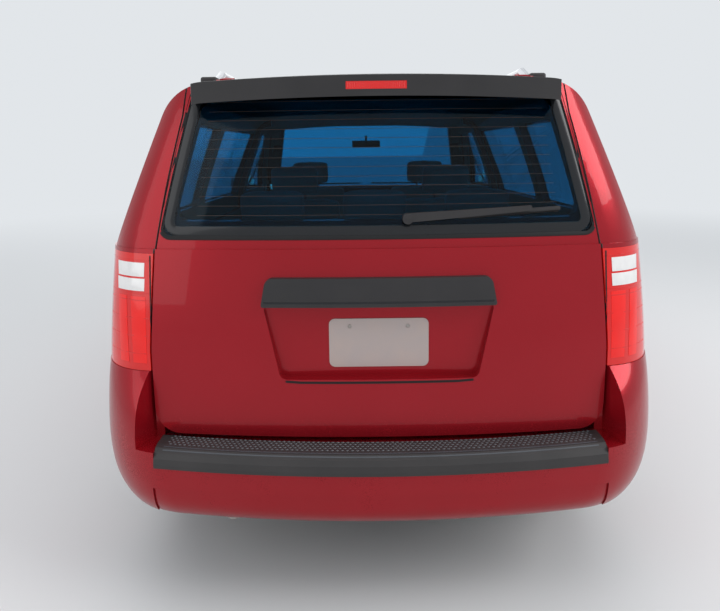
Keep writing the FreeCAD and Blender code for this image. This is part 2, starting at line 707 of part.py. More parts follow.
def liftgate():
    """The gate with its window opening, glass rebate, plate recess and hinge eyes."""
    gate = biggest(SHELL.common(gate_region(0)))
    gate = gate.cut(rear_prism(mirrored_pair(GATE_HOLE_HALF), GATE_TOP_Y, FAR))
    rebate = rear_prism(mirrored_pair(GATE_GLASS_HALF), GATE_TOP_Y, FAR).cut(upper_form(8, 8))
    gate = gate.cut(rebate)
    gate = gate.cut(rear_prism(mirrored_pair(RECESS_HALF), 2415, FAR))
    for x in (-PLATE_SPACING / 2, PLATE_SPACING / 2):
        gate = gate.cut(rod((x, 2390, PLATE_Z), (x, 2440, PLATE_Z), PLATE_HOLE_R))
    eyes = []
    for x in (-GATE_HINGE_X, GATE_HINGE_X):
        eye = rod((x - 20, GATE_HINGE_Y, GATE_HINGE_Z), (x + 20, GATE_HINGE_Y, GATE_HINGE_Z), 10)
        arm = box(x - 20, x + 20, GATE_HINGE_Y, GATE_TOP_Y + 20, GATE_HINGE_Z - 10, GATE_HINGE_Z + 4)
        bore = rod((x - 21, GATE_HINGE_Y, GATE_HINGE_Z), (x + 21, GATE_HINGE_Y, GATE_HINGE_Z), GATE_PIN_R + SEAT)
        eyes.append(eye.fuse(arm).cut(bore))
    return joined([biggest(gate)] + eyes)


def gate_glass():
    pane = upper_form(2, 2).cut(upper_form(8 - SEAT, 8 - SEAT))
    return biggest(pane.common(rear_prism(mirrored_pair(GATE_GLASS_HALF, -SEAT), GATE_TOP_Y, FAR)))


def gate_garnish():
    """The bar over the plate recess."""
    proud = stack(LOWER_BODY, -22).cut(stack(LOWER_BODY, -SEAT))
    return biggest(proud.common(rear_prism(mirrored_pair(GARNISH_HALF), 2300, FAR)))


def spoiler():
    """The lip over the gate window, with the stop lamp's slot."""
    above = crown(ROOF_CROWN, ROOF_ARC, ROOF_SHOULDER, -5)
    below = crown(ROOF_CROWN, ROOF_ARC, ROOF_SHOULDER, 58)
    corners = ((-SPOILER_HALF, 2235, 8), (SPOILER_HALF, 2235, 8), (SPOILER_HALF - 12, SPOILER_Y, 50),
               (-SPOILER_HALF + 12, SPOILER_Y, 50))
    edge = Part.makeCylinder(6000, 400, Vector(0, SPOILER_Y - 6000, 1500))
    lip = plan_prism(corners, 1500, 1800).common(edge).common(above)
    lip = biggest(lip.cut(below).cut(SEATED))
    return biggest(lip.cut(stop_lamp_box(0)))


def stop_lamp_box(shrink):
    return box(-92 + shrink, 92 - shrink, SPOILER_Y - 16 + shrink, SPOILER_Y + 50, 1616 + shrink, 1640 - shrink)


def stop_lamp():
    edge = Part.makeCylinder(5999, 400, Vector(0, SPOILER_Y - 6000, 1500))
    return stop_lamp_box(SEAT).common(edge)


def rear_wiper():
    """An arm and blade that follow the gate's glass, on a round pivot."""
    out = stack(GREENHOUSE, -18).cut(stack(GREENHOUSE, -8))
    arm = out.common(rear_prism(((WIPER_X + 14, 1216, 10), (WIPER_X + 14, 1244, 10), (-470, 1262, 5), (-470, 1246, 5)),
                                2200, FAR))
    blade = stack(GREENHOUSE, -12).cut(stack(GREENHOUSE, -1)).common(
        rear_prism(((-240, 1228, 3), (-240, 1240, 3), (-560, 1258, 3), (-560, 1246, 3)), 2200, FAR))
    post = rod((WIPER_X, 2300, WIPER_Z), (WIPER_X, 2420, WIPER_Z), 16)
    post = post.common(stack(GREENHOUSE, -24)).cut(upper_form(2 - SEAT, 2 - SEAT))
    return biggest(joined([arm, blade, post]))


def roof_rail():
    """Left roof rail: a straight round bar with sloping ends and three feet."""
    points = [(RAIL_X, -180, 1640), (RAIL_X, -40, RAIL_Z), (RAIL_X, 1760, RAIL_Z), (RAIL_X, 1990, 1640)]
    parts = [mitred_pipe(points, RAIL_R)]
    parts.append(box(RAIL_X - 9, RAIL_X + 9, 880, 940, 1640, RAIL_Z))
    return biggest(joined(parts).cut(SEATED))


def tail_lamp():
    lamp = SHELL.common(side_prism(TAIL_LAMP, 0, WIDE)).cut(gate_region(SHUT_GAP))
    return biggest(lamp)


def tail_ring(profile, half):
    """A profile of outward distance and height, swept along the bumper's tail arc over a stretch of its width."""
    centre_y = TAIL_Y - BUMPER_ARC
    points = [Vector(0, centre_y + BUMPER_ARC + out, z) for out, z in profile]
    face = Part.Face(Part.makePolygon(points + points[:1]))
    turn = math.degrees(math.asin((half + 60) / BUMPER_ARC))
    face.rotate(Vector(0, centre_y, 0), Vector(0, 0, 1), -turn)
    ring = face.revolve(Vector(0, centre_y, 0), Vector(0, 0, 1), 2 * turn)
    return ring.common(box(-half, half, 2300, FAR, 0, 1000))


def pad_profile(grow):
    """The step pad's section: flat on top, rounded over the bumper's edge, with a short skirt."""
    top = BUMPER_TOP_Z + PAD_THICK
    outer, inner = [], []
    for step in range(5):
        angle = math.radians(90 * step / 4)
        outer.append((PAD_EDGE_R * (math.sin(angle) - 1), top + PAD_EDGE_R * (math.cos(angle) - 1)))
        less = PAD_EDGE_R - PAD_THICK - grow
        inner.append((less * math.sin(angle) - PAD_EDGE_R, top - PAD_EDGE_R + less * math.cos(angle)))
    start = [(-100.0 - grow, top - PAD_THICK - grow), (-100.0 - grow, top)]
    skirt = [(0.0, PAD_LOW_Z - grow), (-PAD_THICK - grow, PAD_LOW_Z - grow)]
    return start + outer + skirt + inner[::-1]


def rear_bumper():
    """The rear bumper: a skin with a stepped top, a recessed lower face and a solid horn under each tail lamp."""
    form = stack(REAR_BUMPER).common(box(-WIDE, WIDE, BUMPER_FRONT_Y, FAR, BUMPER_LOW_Z, LAMP_LOW_Z - 2 * SEAT))
    under = stack(REAR_BUMPER, SKIN).common(box(-WIDE, WIDE, 0, FAR, 0, BUMPER_TOP_Z - LEDGE))
    above = stack(LOWER_BODY, WALL).common(box(-WIDE, WIDE, 0, FAR, BUMPER_TOP_Z - LEDGE - 1, 900))
    opening = gate_region(SHUT_GAP).common(box(-WIDE, WIDE, 0, FAR, BUMPER_TOP_Z, 900))
    flare = plan_prism(((-706, 2390, 0), (706, 2390, 0), (808, 2670, 0), (-808, 2670, 0)), BUMPER_TOP_Z, 900)
    crease = stack(REAR_BUMPER).cut(stack(REAR_BUMPER, 5)).common(box(-CREASE_HALF, CREASE_HALF, 2300, FAR, 0, CREASE_Z))
    seam = tail_ring(((-4, 0), (20, 0), (20, BUMPER_TOP_Z - LEDGE), (-4, BUMPER_TOP_Z - LEDGE)), SEAM_X + 1.5)
    seam = seam.cut(box(-SEAM_X + 1.5, SEAM_X - 1.5, 2300, FAR, 0, 1000))
    tools = [
        under,
        above,
        opening,
        flare,
        box(-WIDE, WIDE, 0, 2215, BUMPER_SIDE_Z - SEAT, 900),
        tail_ring(pad_room(), PAD_HALF + SEAT),
        crease,
        seam,
    ]
    for tool in tools:
        form = form.cut(tool)
    return biggest(form)


def pad_room():
    """What the step pad takes out of the bumper: all above the underside of the pad."""
    under = pad_profile(SEAT)[7:]
    return under + [(-200.0, BUMPER_TOP_Z - SEAT), (-200.0, 700.0), (60.0, 700.0), (60.0, PAD_LOW_Z - SEAT)]


def step_pad():
    return biggest(tail_ring(pad_profile(0.0), PAD_HALF))


def nose_zone():
    return box(-WIDE, WIDE, -FAR, FENDER_FRONT_Y - SEAT / 2, 0, 1500)


def headlamp_region(grow):
    return rear_prism(grown(HEADLAMP, grow), -FAR, -2130 + grow)


def grille_region(half, grow):
    return rear_prism(mirrored_pair(half, grow), -FAR, -2300)


def front_bumper():
    """The nose: everything ahead of the fenders but the hood, lamps and grilles."""
    nose = NOSE_SKIN.common(nose_zone()).cut(hood_room())
    for tool in (headlamp_region(SEAT), mirrored(headlamp_region(SEAT)), grille_region(GRILLE_HALF, SEAT),
                 grille_region(INTAKE_HALF, SEAT)):
        nose = nose.cut(tool)
    return biggest(nose)


def headlamp():
    """Left headlamp, a closed body behind its lens."""
    body = LOW_OUTER.cut(lower_form(60, 60)).common(headlamp_region(0)).cut(hood_room())
    return biggest(body)


def grille():
    """The upper and lower grilles: frames with horizontal bars and a few uprights."""
    solids = []
    for half, spacing in ((GRILLE_HALF, 34.0), (INTAKE_HALF, 30.0)):
        region = grille_region(half, 0)
        ring = stack(LOWER_BODY, -4).cut(stack(LOWER_BODY, 34)).common(region).cut(grille_region(half, -16))
        low, high = half[0][1], half[-1][1]
        count = int((high - low) / spacing)
        rows = [low + (high - low) * i / count for i in range(1, count)]
        bars = [box(-500, 500, -2700, -2200, z - 6, z + 6) for z in rows]
        bars += [box(x - 5, x + 5, -2700, -2200, low - 20, high + 20) for x in (-240, -120, 0, 120, 240)]
        lattice = joined(bars).common(region)
        lattice = lattice.common(stack(LOWER_BODY, 6).cut(stack(LOWER_BODY, 26)))
        solids.append(biggest(ring.fuse(lattice)))
    return Part.makeCompound(solids)


def fender():
    """Left front fender with its arch."""
    skin = NOSE_SKIN.common(box(0, WIDE, FENDER_FRONT_Y + SEAT / 2, FAR, SILL_Z, 1500))
    skin = skin.cut(hood_room()).cut(box(0, COWL_HALF + SEAT, -1800, FAR, 900, 1500))
    skin = skin.cut(wheel_bore(FRONT_AXLE_Y, ARCH_R, 300, WIDE))
    skin = skin.cut(stack(LOWER_BODY, SKIN).common(box(0, WIDE, POST_FRONT_Y - SEAT, FAR, 0, 1500)))
    skin = skin.cut(box(0, 640, -FAR, FAR, 0, 1500))
    return biggest(skin)


def hood():
    """The hood with its two hinge arms."""
    skin = LOW_OUTER.common(hood_region(0)).cut(crown(HOOD_CROWN, HOOD_ARC, HOOD_SHOULDER, HOOD_WALL))
    parts = [biggest(skin)]
    for x in (-HOOD_HINGE_X, HOOD_HINGE_X):
        eye = rod((x - 9, HOOD_HINGE_Y, HOOD_HINGE_Z), (x + 9, HOOD_HINGE_Y, HOOD_HINGE_Z), 14)
        arm = side_prism(((HOOD_HINGE_Y, HOOD_HINGE_Z - 12, 0), (HOOD_HINGE_Y, HOOD_HINGE_Z + 8, 0),
                          (HOOD_REAR_Y - 70, 975, 0), (HOOD_REAR_Y - 80, 950, 0)), x - 9, x + 9)
        pad = side_prism(((HOOD_REAR_Y - 20, 965, 0), (HOOD_REAR_Y - 20, 1020, 0), (HOOD_REAR_Y - 120, 1000, 0),
                          (HOOD_REAR_Y - 120, 945, 0)), x - 9, x + 9)
        bore = rod((x - 10, HOOD_HINGE_Y, HOOD_HINGE_Z), (x + 10, HOOD_HINGE_Y, HOOD_HINGE_Z), HOOD_PIN_R + SEAT)
        parts.append(joined([eye, joined([arm, pad]).common(LOW_OUTER)]).cut(bore))
    return joined(parts)


def firewall_cowl():
    """The firewall and the cowl that joins it to the foot of the windshield."""
    inside = cabin_form(WALL + SEAT, WALL + SEAT, WALL)
    wall = inside.common(box(-WIDE, WIDE, POST_FRONT_Y + SEAT, POST_FRONT_Y + SEAT + FIREWALL, FLOOR_TOP + SEAT, 1076))
    foot = FLOOR_FORM.common(box(-WIDE, WIDE, POST_FRONT_Y + SEAT, POST_FRONT_Y + SEAT + FIREWALL,
                                 FLOOR_TOP - FLOOR_THICK, FLOOR_TOP + 2))
    wall = wall.fuse(foot)
    top = OUTER.common(box(-COWL_HALF + SEAT, COWL_HALF - SEAT, HOOD_REAR_Y + MOVING_GAP, POST_FRONT_Y + 20, 900, 1110))
    hollow = crown(HOOD_CROWN, HOOD_ARC, HOOD_SHOULDER, 16).common(box(-WIDE, WIDE, -FAR, FAR, 0, 1062))
    hollow = hollow.common(box(-WIDE, WIDE, -FAR, POST_FRONT_Y + SEAT, 0, 1500))
    under_glass = HIGH_INNER_LOW.common(box(-WIDE, WIDE, -FAR, POST_FRONT_Y + SEAT, 1078, 1500))
    top = top.cut(hollow).cut(under_glass)
    top = top.cut(rear_prism(mirrored_pair(WINDSCREEN_HALF, SEAT), -2000, HEADER_Y))
    pocket = box(HOOD_HINGE_X - 16, HOOD_HINGE_X + 16, HOOD_REAR_Y, HOOD_HINGE_Y + 24, 900, 1200)
    top = top.cut(pocket).cut(mirrored(pocket))
    lugs = []
    for sign in (-1, 1):
        a, b = sign * (HOOD_HINGE_X - 22), sign * (HOOD_HINGE_X + 14)
        lugs.append(rod((a, HOOD_HINGE_Y, HOOD_HINGE_Z), (b, HOOD_HINGE_Y, HOOD_HINGE_Z), HOOD_PIN_R))
        x0, x1 = sorted((a, sign * (HOOD_HINGE_X - 30)))
        lugs.append(box(x0, x1, HOOD_HINGE_Y - 14, HOOD_HINGE_Y + 60, HOOD_HINGE_Z - 14, 1066))
    for s in (-1, 1):
        wall = wall.cut(wheel_bore(FRONT_AXLE_Y, HOUSING_R + HOUSING_WALL + SEAT, *sorted((s * (FRONT_HOUSING_X - SEAT),
                                                                                       s * WIDE))))
    whole = joined([wall, top] + lugs)
    return biggest(whole)


def front_structure():
    """Frame rails, bumper beam, radiator support and radiator."""
    rails = [box(s * RAIL_IN if s > 0 else -RAIL_OUT, s * RAIL_OUT if s > 0 else -RAIL_IN, -2440, POST_FRONT_Y,
                 430, 530) for s in (-1, 1)]
    beam = stack(LOWER_BODY, 60).cut(stack(LOWER_BODY, 110)).common(box(-780, 780, -FAR, -2200, 430, 530))
    support = box(-560, 560, -2330, -2290, 330, 760).cut(box(-400, 400, -2400, -2200, 380, 720))
    radiator = box(-401, 401, -2322, -2298, 379, 721)
    return joined(rails + [biggest(beam), support, radiator])


def wheel_housing(axle_y, x0, inset, open_z):
    """One wheel housing: a round liner with an inner wall."""
    form = lower_form(inset + SEAT, inset + SEAT)
    liner = wheel_bore(axle_y, HOUSING_R + HOUSING_WALL, x0, WIDE).cut(wheel_bore(axle_y, HOUSING_R, x0 - 1, WIDE))
    liner = liner.common(box(0, WIDE, axle_y - 500, axle_y + 500, FLOOR_TOP - FLOOR_THICK, 1000))
    wall = wheel_bore(axle_y, HOUSING_R + 1, x0, x0 + HOUSING_WALL)
    wall = wall.common(box(0, WIDE, axle_y - 500, axle_y + 500, open_z, 1000))
    return liner.fuse(wall).common(form)


def wheel_housings():
    front = wheel_housing(FRONT_AXLE_Y, FRONT_HOUSING_X, SKIN, 480.0)
    tower = rod(king(745), king(TOWER_TOP_Z), TOWER_R)
    room = rod(king(700), king(TOWER_TOP_Z - HOUSING_WALL), TOWER_R - HOUSING_WALL)
    hole = rod(king(700), king(TOWER_TOP_Z + 40), STRUT_R + 6)
    front = biggest(joined([front, tower]).cut(room).cut(hole))
    rear = biggest(wheel_housing(REAR_AXLE_Y, REAR_HOUSING_X, WALL, FLOOR_TOP))
    return Part.makeCompound([front, mirrored(front), rear, mirrored(rear)])


def king(z):
    """A point on the kingpin's line, which leans in going up. The strut lies on it."""
    return (KING_FOOT[0] - KING_SLOPE * (z - KING_FOOT[2]), FRONT_AXLE_Y, z)


def knuckle():
    """Left knuckle with its strut, spindle and brake disc."""
    pin = rod(king(190), king(280), KING_PIN_R)
    body = box(692, 770, FRONT_AXLE_Y - 42, FRONT_AXLE_Y + 42, 248, 446)
    spindle = rod((730, FRONT_AXLE_Y, TYRE_R), (HUB_X + 22, FRONT_AXLE_Y, TYRE_R), SPINDLE_R)
    disc = rod((793, FRONT_AXLE_Y, TYRE_R), (813, FRONT_AXLE_Y, TYRE_R), 145)
    caliper = box(776, 826, FRONT_AXLE_Y + 74, FRONT_AXLE_Y + 150, TYRE_R - 70, TYRE_R + 70)
    hub = rod((768, FRONT_AXLE_Y, TYRE_R), (826, FRONT_AXLE_Y, TYRE_R), 60)
    strut = rod(king(410), king(TOWER_TOP_Z + 22), STRUT_R)
    spring = rod(king(730), king(868), SPRING_R)
    return joined([pin, body, spindle, disc, caliper, hub, strut, spring])


def front_subframe():
    """Subframe with the lower arms, whose eyes hold the knuckles' pins."""
    parts = [box(-470, 470, FRONT_AXLE_Y - 60, FRONT_AXLE_Y + 60, 215, 290)]
    for s in (-1, 1):
        x0, x1 = sorted((s * 380, s * 450))
        parts.append(box(x0, x1, -1930, -1260, 215, 290))
        for y in (-1920, -1330):
            a, b = sorted((s * RAIL_IN, s * RAIL_OUT))
            parts.append(box(a, b, y, y + 60, 215, 430 - SEAT))
        a, b = sorted((s * 450, s * KING_FOOT[0]))
        parts.append(box(a, b, FRONT_AXLE_Y - 30, FRONT_AXLE_Y + 30, 200, 230))
        parts.append(Part.makeCylinder(22, 30, Vector(s * KING_FOOT[0], FRONT_AXLE_Y, 200)))
    whole = joined(parts)
    foot, high = king(150), king(300)
    bore = rod(foot, high, KING_PIN_R + SEAT)
    whole = whole.cut(bore).cut(mirrored(bore))
    return whole


def floor_pan():
    """The floor with the tail panel behind the rear bumper."""
    low = FLOOR_TOP - FLOOR_THICK
    floor = FLOOR_FORM.common(box(-WIDE, WIDE, POST_FRONT_Y + FIREWALL + 2 * SEAT, 2380, low, FLOOR_TOP))
    liner = HOUSING_R + HOUSING_WALL + SEAT
    for s in (-1, 1):
        x0, x1 = sorted((s * (REAR_HOUSING_X - SEAT), s * WIDE))
        floor = floor.cut(wheel_bore(REAR_AXLE_Y, liner, x0, x1))
        floor = floor.cut(wheel_bore(FRONT_AXLE_Y, liner, *sorted((s * FRONT_HOUSING_X, s * WIDE))))
    inside = stack(LOWER_BODY, WALL + SEAT)
    tail = box(-700, 700, 2330, 2370, BUMPER_LOW_Z, GATE_BOTTOM_Z - SHUT_GAP).common(inside)
    flange = box(-700, 700, 2330, 2400, BUMPER_TOP_Z - LEDGE, BUMPER_TOP_Z - SHUT_GAP).common(inside)
    return joined([biggest(floor), tail, flange])


def captain_seat(x, y):
    """One seat with its cushion, back and head restraint, on a foot."""
    foot = box(x - 190, x + 190, y - 180, y + 200, FLOOR_TOP + SEAT, 560)
    cushion = box(x - 250, x + 250, y - 270, y + 250, 550, 690)
    back = side_prism(((y + 150, 640, 20), (y + 270, 640, 20), (y + 400, 1170, 40), (y + 290, 1180, 40)), x - 245, x + 245)
    head = side_prism(((y + 315, 1150, 10), (y + 415, 1150, 10), (y + 440, 1350, 30), (y + 345, 1355, 30)), x - 130, x + 130)
    return joined([foot, cushion, back, head])


def third_row():
    y = 1620.0
    foot = box(-480, 480, y - 180, y + 180, FLOOR_TOP + SEAT, 560)
    cushion = box(-610, 610, y - 270, y + 230, 550, 680)
    back = side_prism(((y + 150, 640, 20), (y + 260, 640, 20), (y + 370, 1130, 40), (y + 270, 1140, 40)), -605, 605)
    heads = [side_prism(((y + 290, 1110, 10), (y + 380, 1110, 10), (y + 405, 1290, 30), (y + 320, 1295, 30)),
                        x - 125, x + 125) for x in (-380, 0, 380)]
    return joined([foot, cushion, back] + heads)


def dashboard():
    face = side_prism(((POST_FRONT_Y + FIREWALL + 2 * SEAT, 760, 0), (-985, 760, 30), (-930, 860, 40), (-950, 1010, 40),
                       (POST_FRONT_Y + FIREWALL + 2 * SEAT, 1060, 20)), -WIDE, WIDE)
    form = cabin_form(WALL + PILLAR_GAP + 4, PILLAR_WALL + 20, ROOF_WALL)
    column = rod((STEER_X, -950, 880), (STEER_X, -860, 925), 38)
    return joined([face.common(form), column])


def steering_wheel():
    """Rim, spokes and hub, standing on the end of the column."""
    section = [(15 * math.sin(math.radians(60 * i)), 185 + 15 * math.cos(math.radians(60 * i))) for i in range(6)]
    ring = turned(section)
    ring.rotate(Vector(0, 0, 0), Vector(0, 1, 0), 90)
    hub = Part.makeCylinder(52, 40, Vector(0, 0, -30))
    spokes = [box(-185, 185, -16, 16, -10, 4), box(-16, 16, -185, 0, -10, 4)]
    whole = joined([ring, hub] + spokes)
    whole.rotate(Vector(0, 0, 0), Vector(1, 0, 0), -STEER_LEAN)
    along = Vector(0, math.sin(math.radians(STEER_LEAN)), math.cos(math.radians(STEER_LEAN)))
    start = Vector(STEER_X, -860, 925) + along * (30 + SEAT)
    whole.translate(start)
    return whole


def engine_block():
    return box(-418, 418, -2180, -1480, 290 + SEAT, 860)


def rear_axle():
    """Cross beam, trailing arms, springs, spindles and brake discs."""
    parts = [box(-640, 640, 1360, 1430, 205, 262)]
    for s in (-1, 1):
        parts.append(box(*sorted((s * 560, s * 640)), 860, 1560, 215, 275))
        parts.append(box(*sorted((s * 560, s * 640)), 860, 920, 215, 345 - SEAT))
        parts.append(box(*sorted((s * 560, s * 705)), 1420, 1532, 215, 275))
        parts.append(box(*sorted((s * 674, s * 705)), 1420, 1532, 215, 400))
        parts.append(rod((s * 600, 1495, 270), (s * 600, 1495, 345 - SEAT), 46))
        parts.append(rod((s * 680, REAR_AXLE_Y, TYRE_R), (s * (HUB_X + 22), REAR_AXLE_Y, TYRE_R), SPINDLE_R))
        parts.append(rod((s * 790, REAR_AXLE_Y, TYRE_R), (s * 810, REAR_AXLE_Y, TYRE_R), 140))
        parts.append(rod((s * 704, REAR_AXLE_Y, TYRE_R), (s * 826, REAR_AXLE_Y, TYRE_R), 60))
    return joined(parts)


def fuel_tank():
    return side_prism(((250, 225, 30), (980, 225, 30), (980, 345 - SEAT, 4), (250, 345 - SEAT, 4)), -480, 180)


def exhaust():
    """The pipe with its silencer and hangers, under the floor's right side."""
    points = [(-60, -1440, 300), (260, -1100, 300), (330, 1100, 300), (330, 1650, 300), (420, 1800, 290),
              (420, 2150, 290), (480, 2385, 275)]
    parts = [mitred_pipe(points, 26)]
    parts.append(side_prism(((1780, 225, 40), (2140, 225, 40), (2140, 330, 40), (1780, 330, 40)), 290, 560))
    for x, y in ((300, 0), (330, 1250), (420, 1960)):
        parts.append(box(x - 8, x + 8, y - 12, y + 12, 300, 345 - SEAT))
    return joined(parts)


def nose_y(table, z, x):
    """Where the nose end of a stack lies at a height, off the middle by x."""
    for low, high in zip(table, table[1:]):
        if low[0] <= z <= high[0]:
            share = (z - low[0]) / (high[0] - low[0])
            tip, arc = (low[i] + share * (high[i] - low[i]) for i in (2, 4))
            return tip + arc - math.sqrt(arc * arc - x * x)
    return table[-1][2]


def front_wiper():
    """Left front wiper: a post on the cowl, and an arm with its blade along the foot of the windshield."""
    x = 600.0
    z = 1112.0
    bar = stack(GREENHOUSE, -16).cut(stack(GREENHOUSE, -6)).common(box(50, x, -FAR, 0, z - 6, z + 8))
    y = nose_y(GREENHOUSE, 1080.0, x) - 26
    post = Part.makeCylinder(12, 80, Vector(x - 12, y, z + 8 - 80))
    link = box(x - 22, x - 2, y, nose_y(GREENHOUSE, z, x) + 6, z - 6, z + 8)
    return biggest(joined([bar, post, link.cut(stack(GREENHOUSE, -4))]).cut(SEATED))


def wheel(x_sign, axle_y):
    """A steel wheel with a seven-spoke ventilated cover, centred on its axle."""
    barrel = turned(((-100, 190), (100, 190), (100, FLANGE_R), (92, FLANGE_R), (92, RIM_R), (-92, RIM_R),
                     (-92, FLANGE_R), (-100, FLANGE_R)))
    disc = turned(((48, 0), (48, 191), (60, 191), (72, 120), (72, 0)))
    hub = turned(((20, 0), (20, 75), (50, 75), (50, 0)))
    whole = joined([barrel, disc, hub])
    vent = vent_prism()
    for i in range(SPOKES):
        turn = vent.copy()
        turn.rotate(Vector(0, 0, 0), Vector(1, 0, 0), 360 / SPOKES * i)
        whole = whole.cut(turn)
    bore = rod((0, 0, 0), (HUB_X + 24 - WHEEL_X, 0, 0), SPINDLE_R + SEAT)
    whole = whole.cut(bore)
    return placed_wheel(whole, x_sign, axle_y)


def vent_prism():
    """One opening of the cover, between two spokes."""
    half_in, half_out = 15.0, 44.0
    face = Part.Face(outline(((-half_in, 92, 8), (half_in, 92, 8), (half_out, 168, 12), (-half_out, 168, 12)),
                             lambda p: Vector(40, p.x, p.y)))
    return face.extrude(Vector(60, 0, 0))


def placed_wheel(shape, x_sign, axle_y):
    placed = shape.copy() if x_sign > 0 else mirrored(shape)
    placed.translate(Vector(x_sign * WHEEL_X, axle_y, TYRE_R))
    return placed


def tyre(x_sign, axle_y):
    """A tyre of flat facets, with a corner of each ring on the ground side."""
    half = TYRE_WIDTH / 2
    bead, lip = [(r + SEAT) / math.cos(math.pi / TYRE_FACETS) for r in (RIM_R, FLANGE_R)]
    side = ((91.7, bead), (91.7, lip), (101, lip), (half, 270), (101, 332), (78, TYRE_R))
    profile = side + tuple((-x, r) for x, r in reversed(side))
    rings = []
    for i in range(TYRE_FACETS):
        angle = 2 * math.pi * i / TYRE_FACETS
        rings.append([Vector(x, r * math.sin(angle), -r * math.cos(angle)) for x, r in profile])
    faces = []
    for i, ring in enumerate(rings):
        following = rings[(i + 1) % TYRE_FACETS]
        for k in range(len(ring)):
            on = (k + 1) % len(ring)
            faces.append(Part.Face(Part.makePolygon([ring[k], ring[on], following[on], following[k], ring[k]])))
    body = Part.Solid(Part.makeShell(faces))
    if body.Volume < 0:
        body.reverse()
    return placed_wheel(body, x_sign, axle_y)


def pieces():
    """Every piece of the vehicle by name."""
    frame = side_frame()
    door = front_door()
    door_pane = side_pane(FRONT_WINDOW)
    slide = sliding_door()
    panes = [side_pane(SLIDING_WINDOW), side_pane(QUARTER_WINDOW)]
    head_left = mirror()
    lamp, tail, wing, rail = headlamp(), tail_lamp(), fender(), roof_rail()
    turning = knuckle()
    made = {
        "side_frames": both(frame),
        "front_door_left": door,
        "front_door_right": mirrored(door),
        "front_door_window_left": door_pane,
        "front_door_window_right": mirrored(door_pane),
        "mirror_left": head_left,
        "mirror_right": mirrored(head_left),
        "sliding_doors": both(slide),
        "side_windows": Part.makeCompound(panes + [mirrored(p) for p in panes]),
        "windshield": windshield(),
        "roof_panel": roof_panel(),
        "roof_rails": both(rail),
        "liftgate": liftgate(),
        "liftgate_window": gate_glass(),
        "liftgate_garnish": gate_garnish(),
        "rear_spoiler": spoiler(),
        "stop_lamp": stop_lamp(),
        "rear_wiper": rear_wiper(),
        "tail_lamps": both(tail),
        "rear_bumper": rear_bumper(),
        "step_pad": step_pad(),
        "front_bumper": front_bumper(),
        "headlamps": both(lamp),
        "grille": grille(),
        "fenders": both(wing),
        "hood": hood(),
        "firewall_cowl": firewall_cowl(),
        "front_wipers": both(front_wiper()),
        "front_structure": front_structure(),
        "wheel_housings": wheel_housings(),
        "front_subframe": front_subframe(),
        "rear_axle": rear_axle(),
        "engine_block": engine_block(),
        "fuel_tank": fuel_tank(),
        "exhaust": exhaust(),
        "floor_pan": floor_pan(),
        "dashboard": dashboard(),
        "steering_wheel": steering_wheel(),
        "captain_seats": Part.makeCompound([captain_seat(x, y) for x in (-400, 400) for y in (-420, 620)]),
        "third_row_seat": third_row(),
        "knuckle_left": turning,
        "knuckle_right": mirrored(turning),
    }
    for end, axle_y in (("front", FRONT_AXLE_Y), ("rear", REAR_AXLE_Y)):
        for side, sign in (("left", 1), ("right", -1)):
            made[f"wheel_{end}_{side}"] = wheel(sign, axle_y)
            made[f"tyre_{end}_{side}"] = tyre(sign, axle_y)
    return made


def main():
    os.makedirs("parts", exist_ok=True)
    for name, shape in pieces().items():
        solids = shape.Solids
        print(name, shape.isValid(), len(solids), [round(s.Volume / 1e6, 2) for s in solids])
        shape.exportStep(f"parts/{name}.step")


if __name__ == "__main__":
    main()
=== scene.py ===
"""Dresses and lights a family minivan with sliding side doors, seen from straight behind."""
import json
import logging
import math
from dataclasses import dataclass, field
from enum import Enum
from typing import Callable, ClassVar, Iterable, Optional, Sequence

import bmesh
import bpy
from mathutils import Matrix, Vector
from mathutils.bvhtree import BVHTree


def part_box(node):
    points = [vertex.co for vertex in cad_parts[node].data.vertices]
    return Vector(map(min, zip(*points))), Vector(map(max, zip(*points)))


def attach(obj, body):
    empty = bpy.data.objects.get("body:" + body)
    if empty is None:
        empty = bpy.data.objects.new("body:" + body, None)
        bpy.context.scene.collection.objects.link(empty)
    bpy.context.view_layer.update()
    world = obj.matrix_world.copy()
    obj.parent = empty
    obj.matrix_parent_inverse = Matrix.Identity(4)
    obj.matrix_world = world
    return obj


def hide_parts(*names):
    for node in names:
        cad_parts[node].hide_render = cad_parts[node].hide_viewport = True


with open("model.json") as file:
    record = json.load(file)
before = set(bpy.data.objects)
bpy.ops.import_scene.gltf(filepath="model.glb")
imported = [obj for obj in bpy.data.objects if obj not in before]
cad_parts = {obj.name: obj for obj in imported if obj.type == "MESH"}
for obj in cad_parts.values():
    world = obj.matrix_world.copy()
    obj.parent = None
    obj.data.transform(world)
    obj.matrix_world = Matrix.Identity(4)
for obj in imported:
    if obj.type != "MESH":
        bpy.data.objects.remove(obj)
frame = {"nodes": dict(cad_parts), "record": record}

LOG = logging.getLogger("minivan")
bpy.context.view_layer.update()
Colour = tuple[float, float, float]
NodeTree = bpy.types.NodeTree
Material = bpy.types.Material
SceneObject = bpy.types.Object
Point2 = tuple[float, float]
Point3 = tuple[float, float, float]
Corner = tuple[float, float, float]
Run = tuple[Point2, ...]
Paths = tuple[tuple[Sequence[Point2], bool], ...]
Pad = tuple[Point3, Point3, float]
Plan = Callable[[float, float], Point3]

SAME_PLACE = 1e-6
FLAT_HALF_ANGLE = 1.55


class Side(Enum):
    """The vehicle's two sides."""

    LEFT = 1
    RIGHT = -1

    @property
    def word(self) -> str:
        """The side's name in a node's name."""
        return self.name.lower()


class Group(Enum):
    """The shader groups that several finishes share."""

    GRAIN = "surface_grain"
    DUST = "road_dust"
    WEAVE = "cloth_weave"


# Shader groups


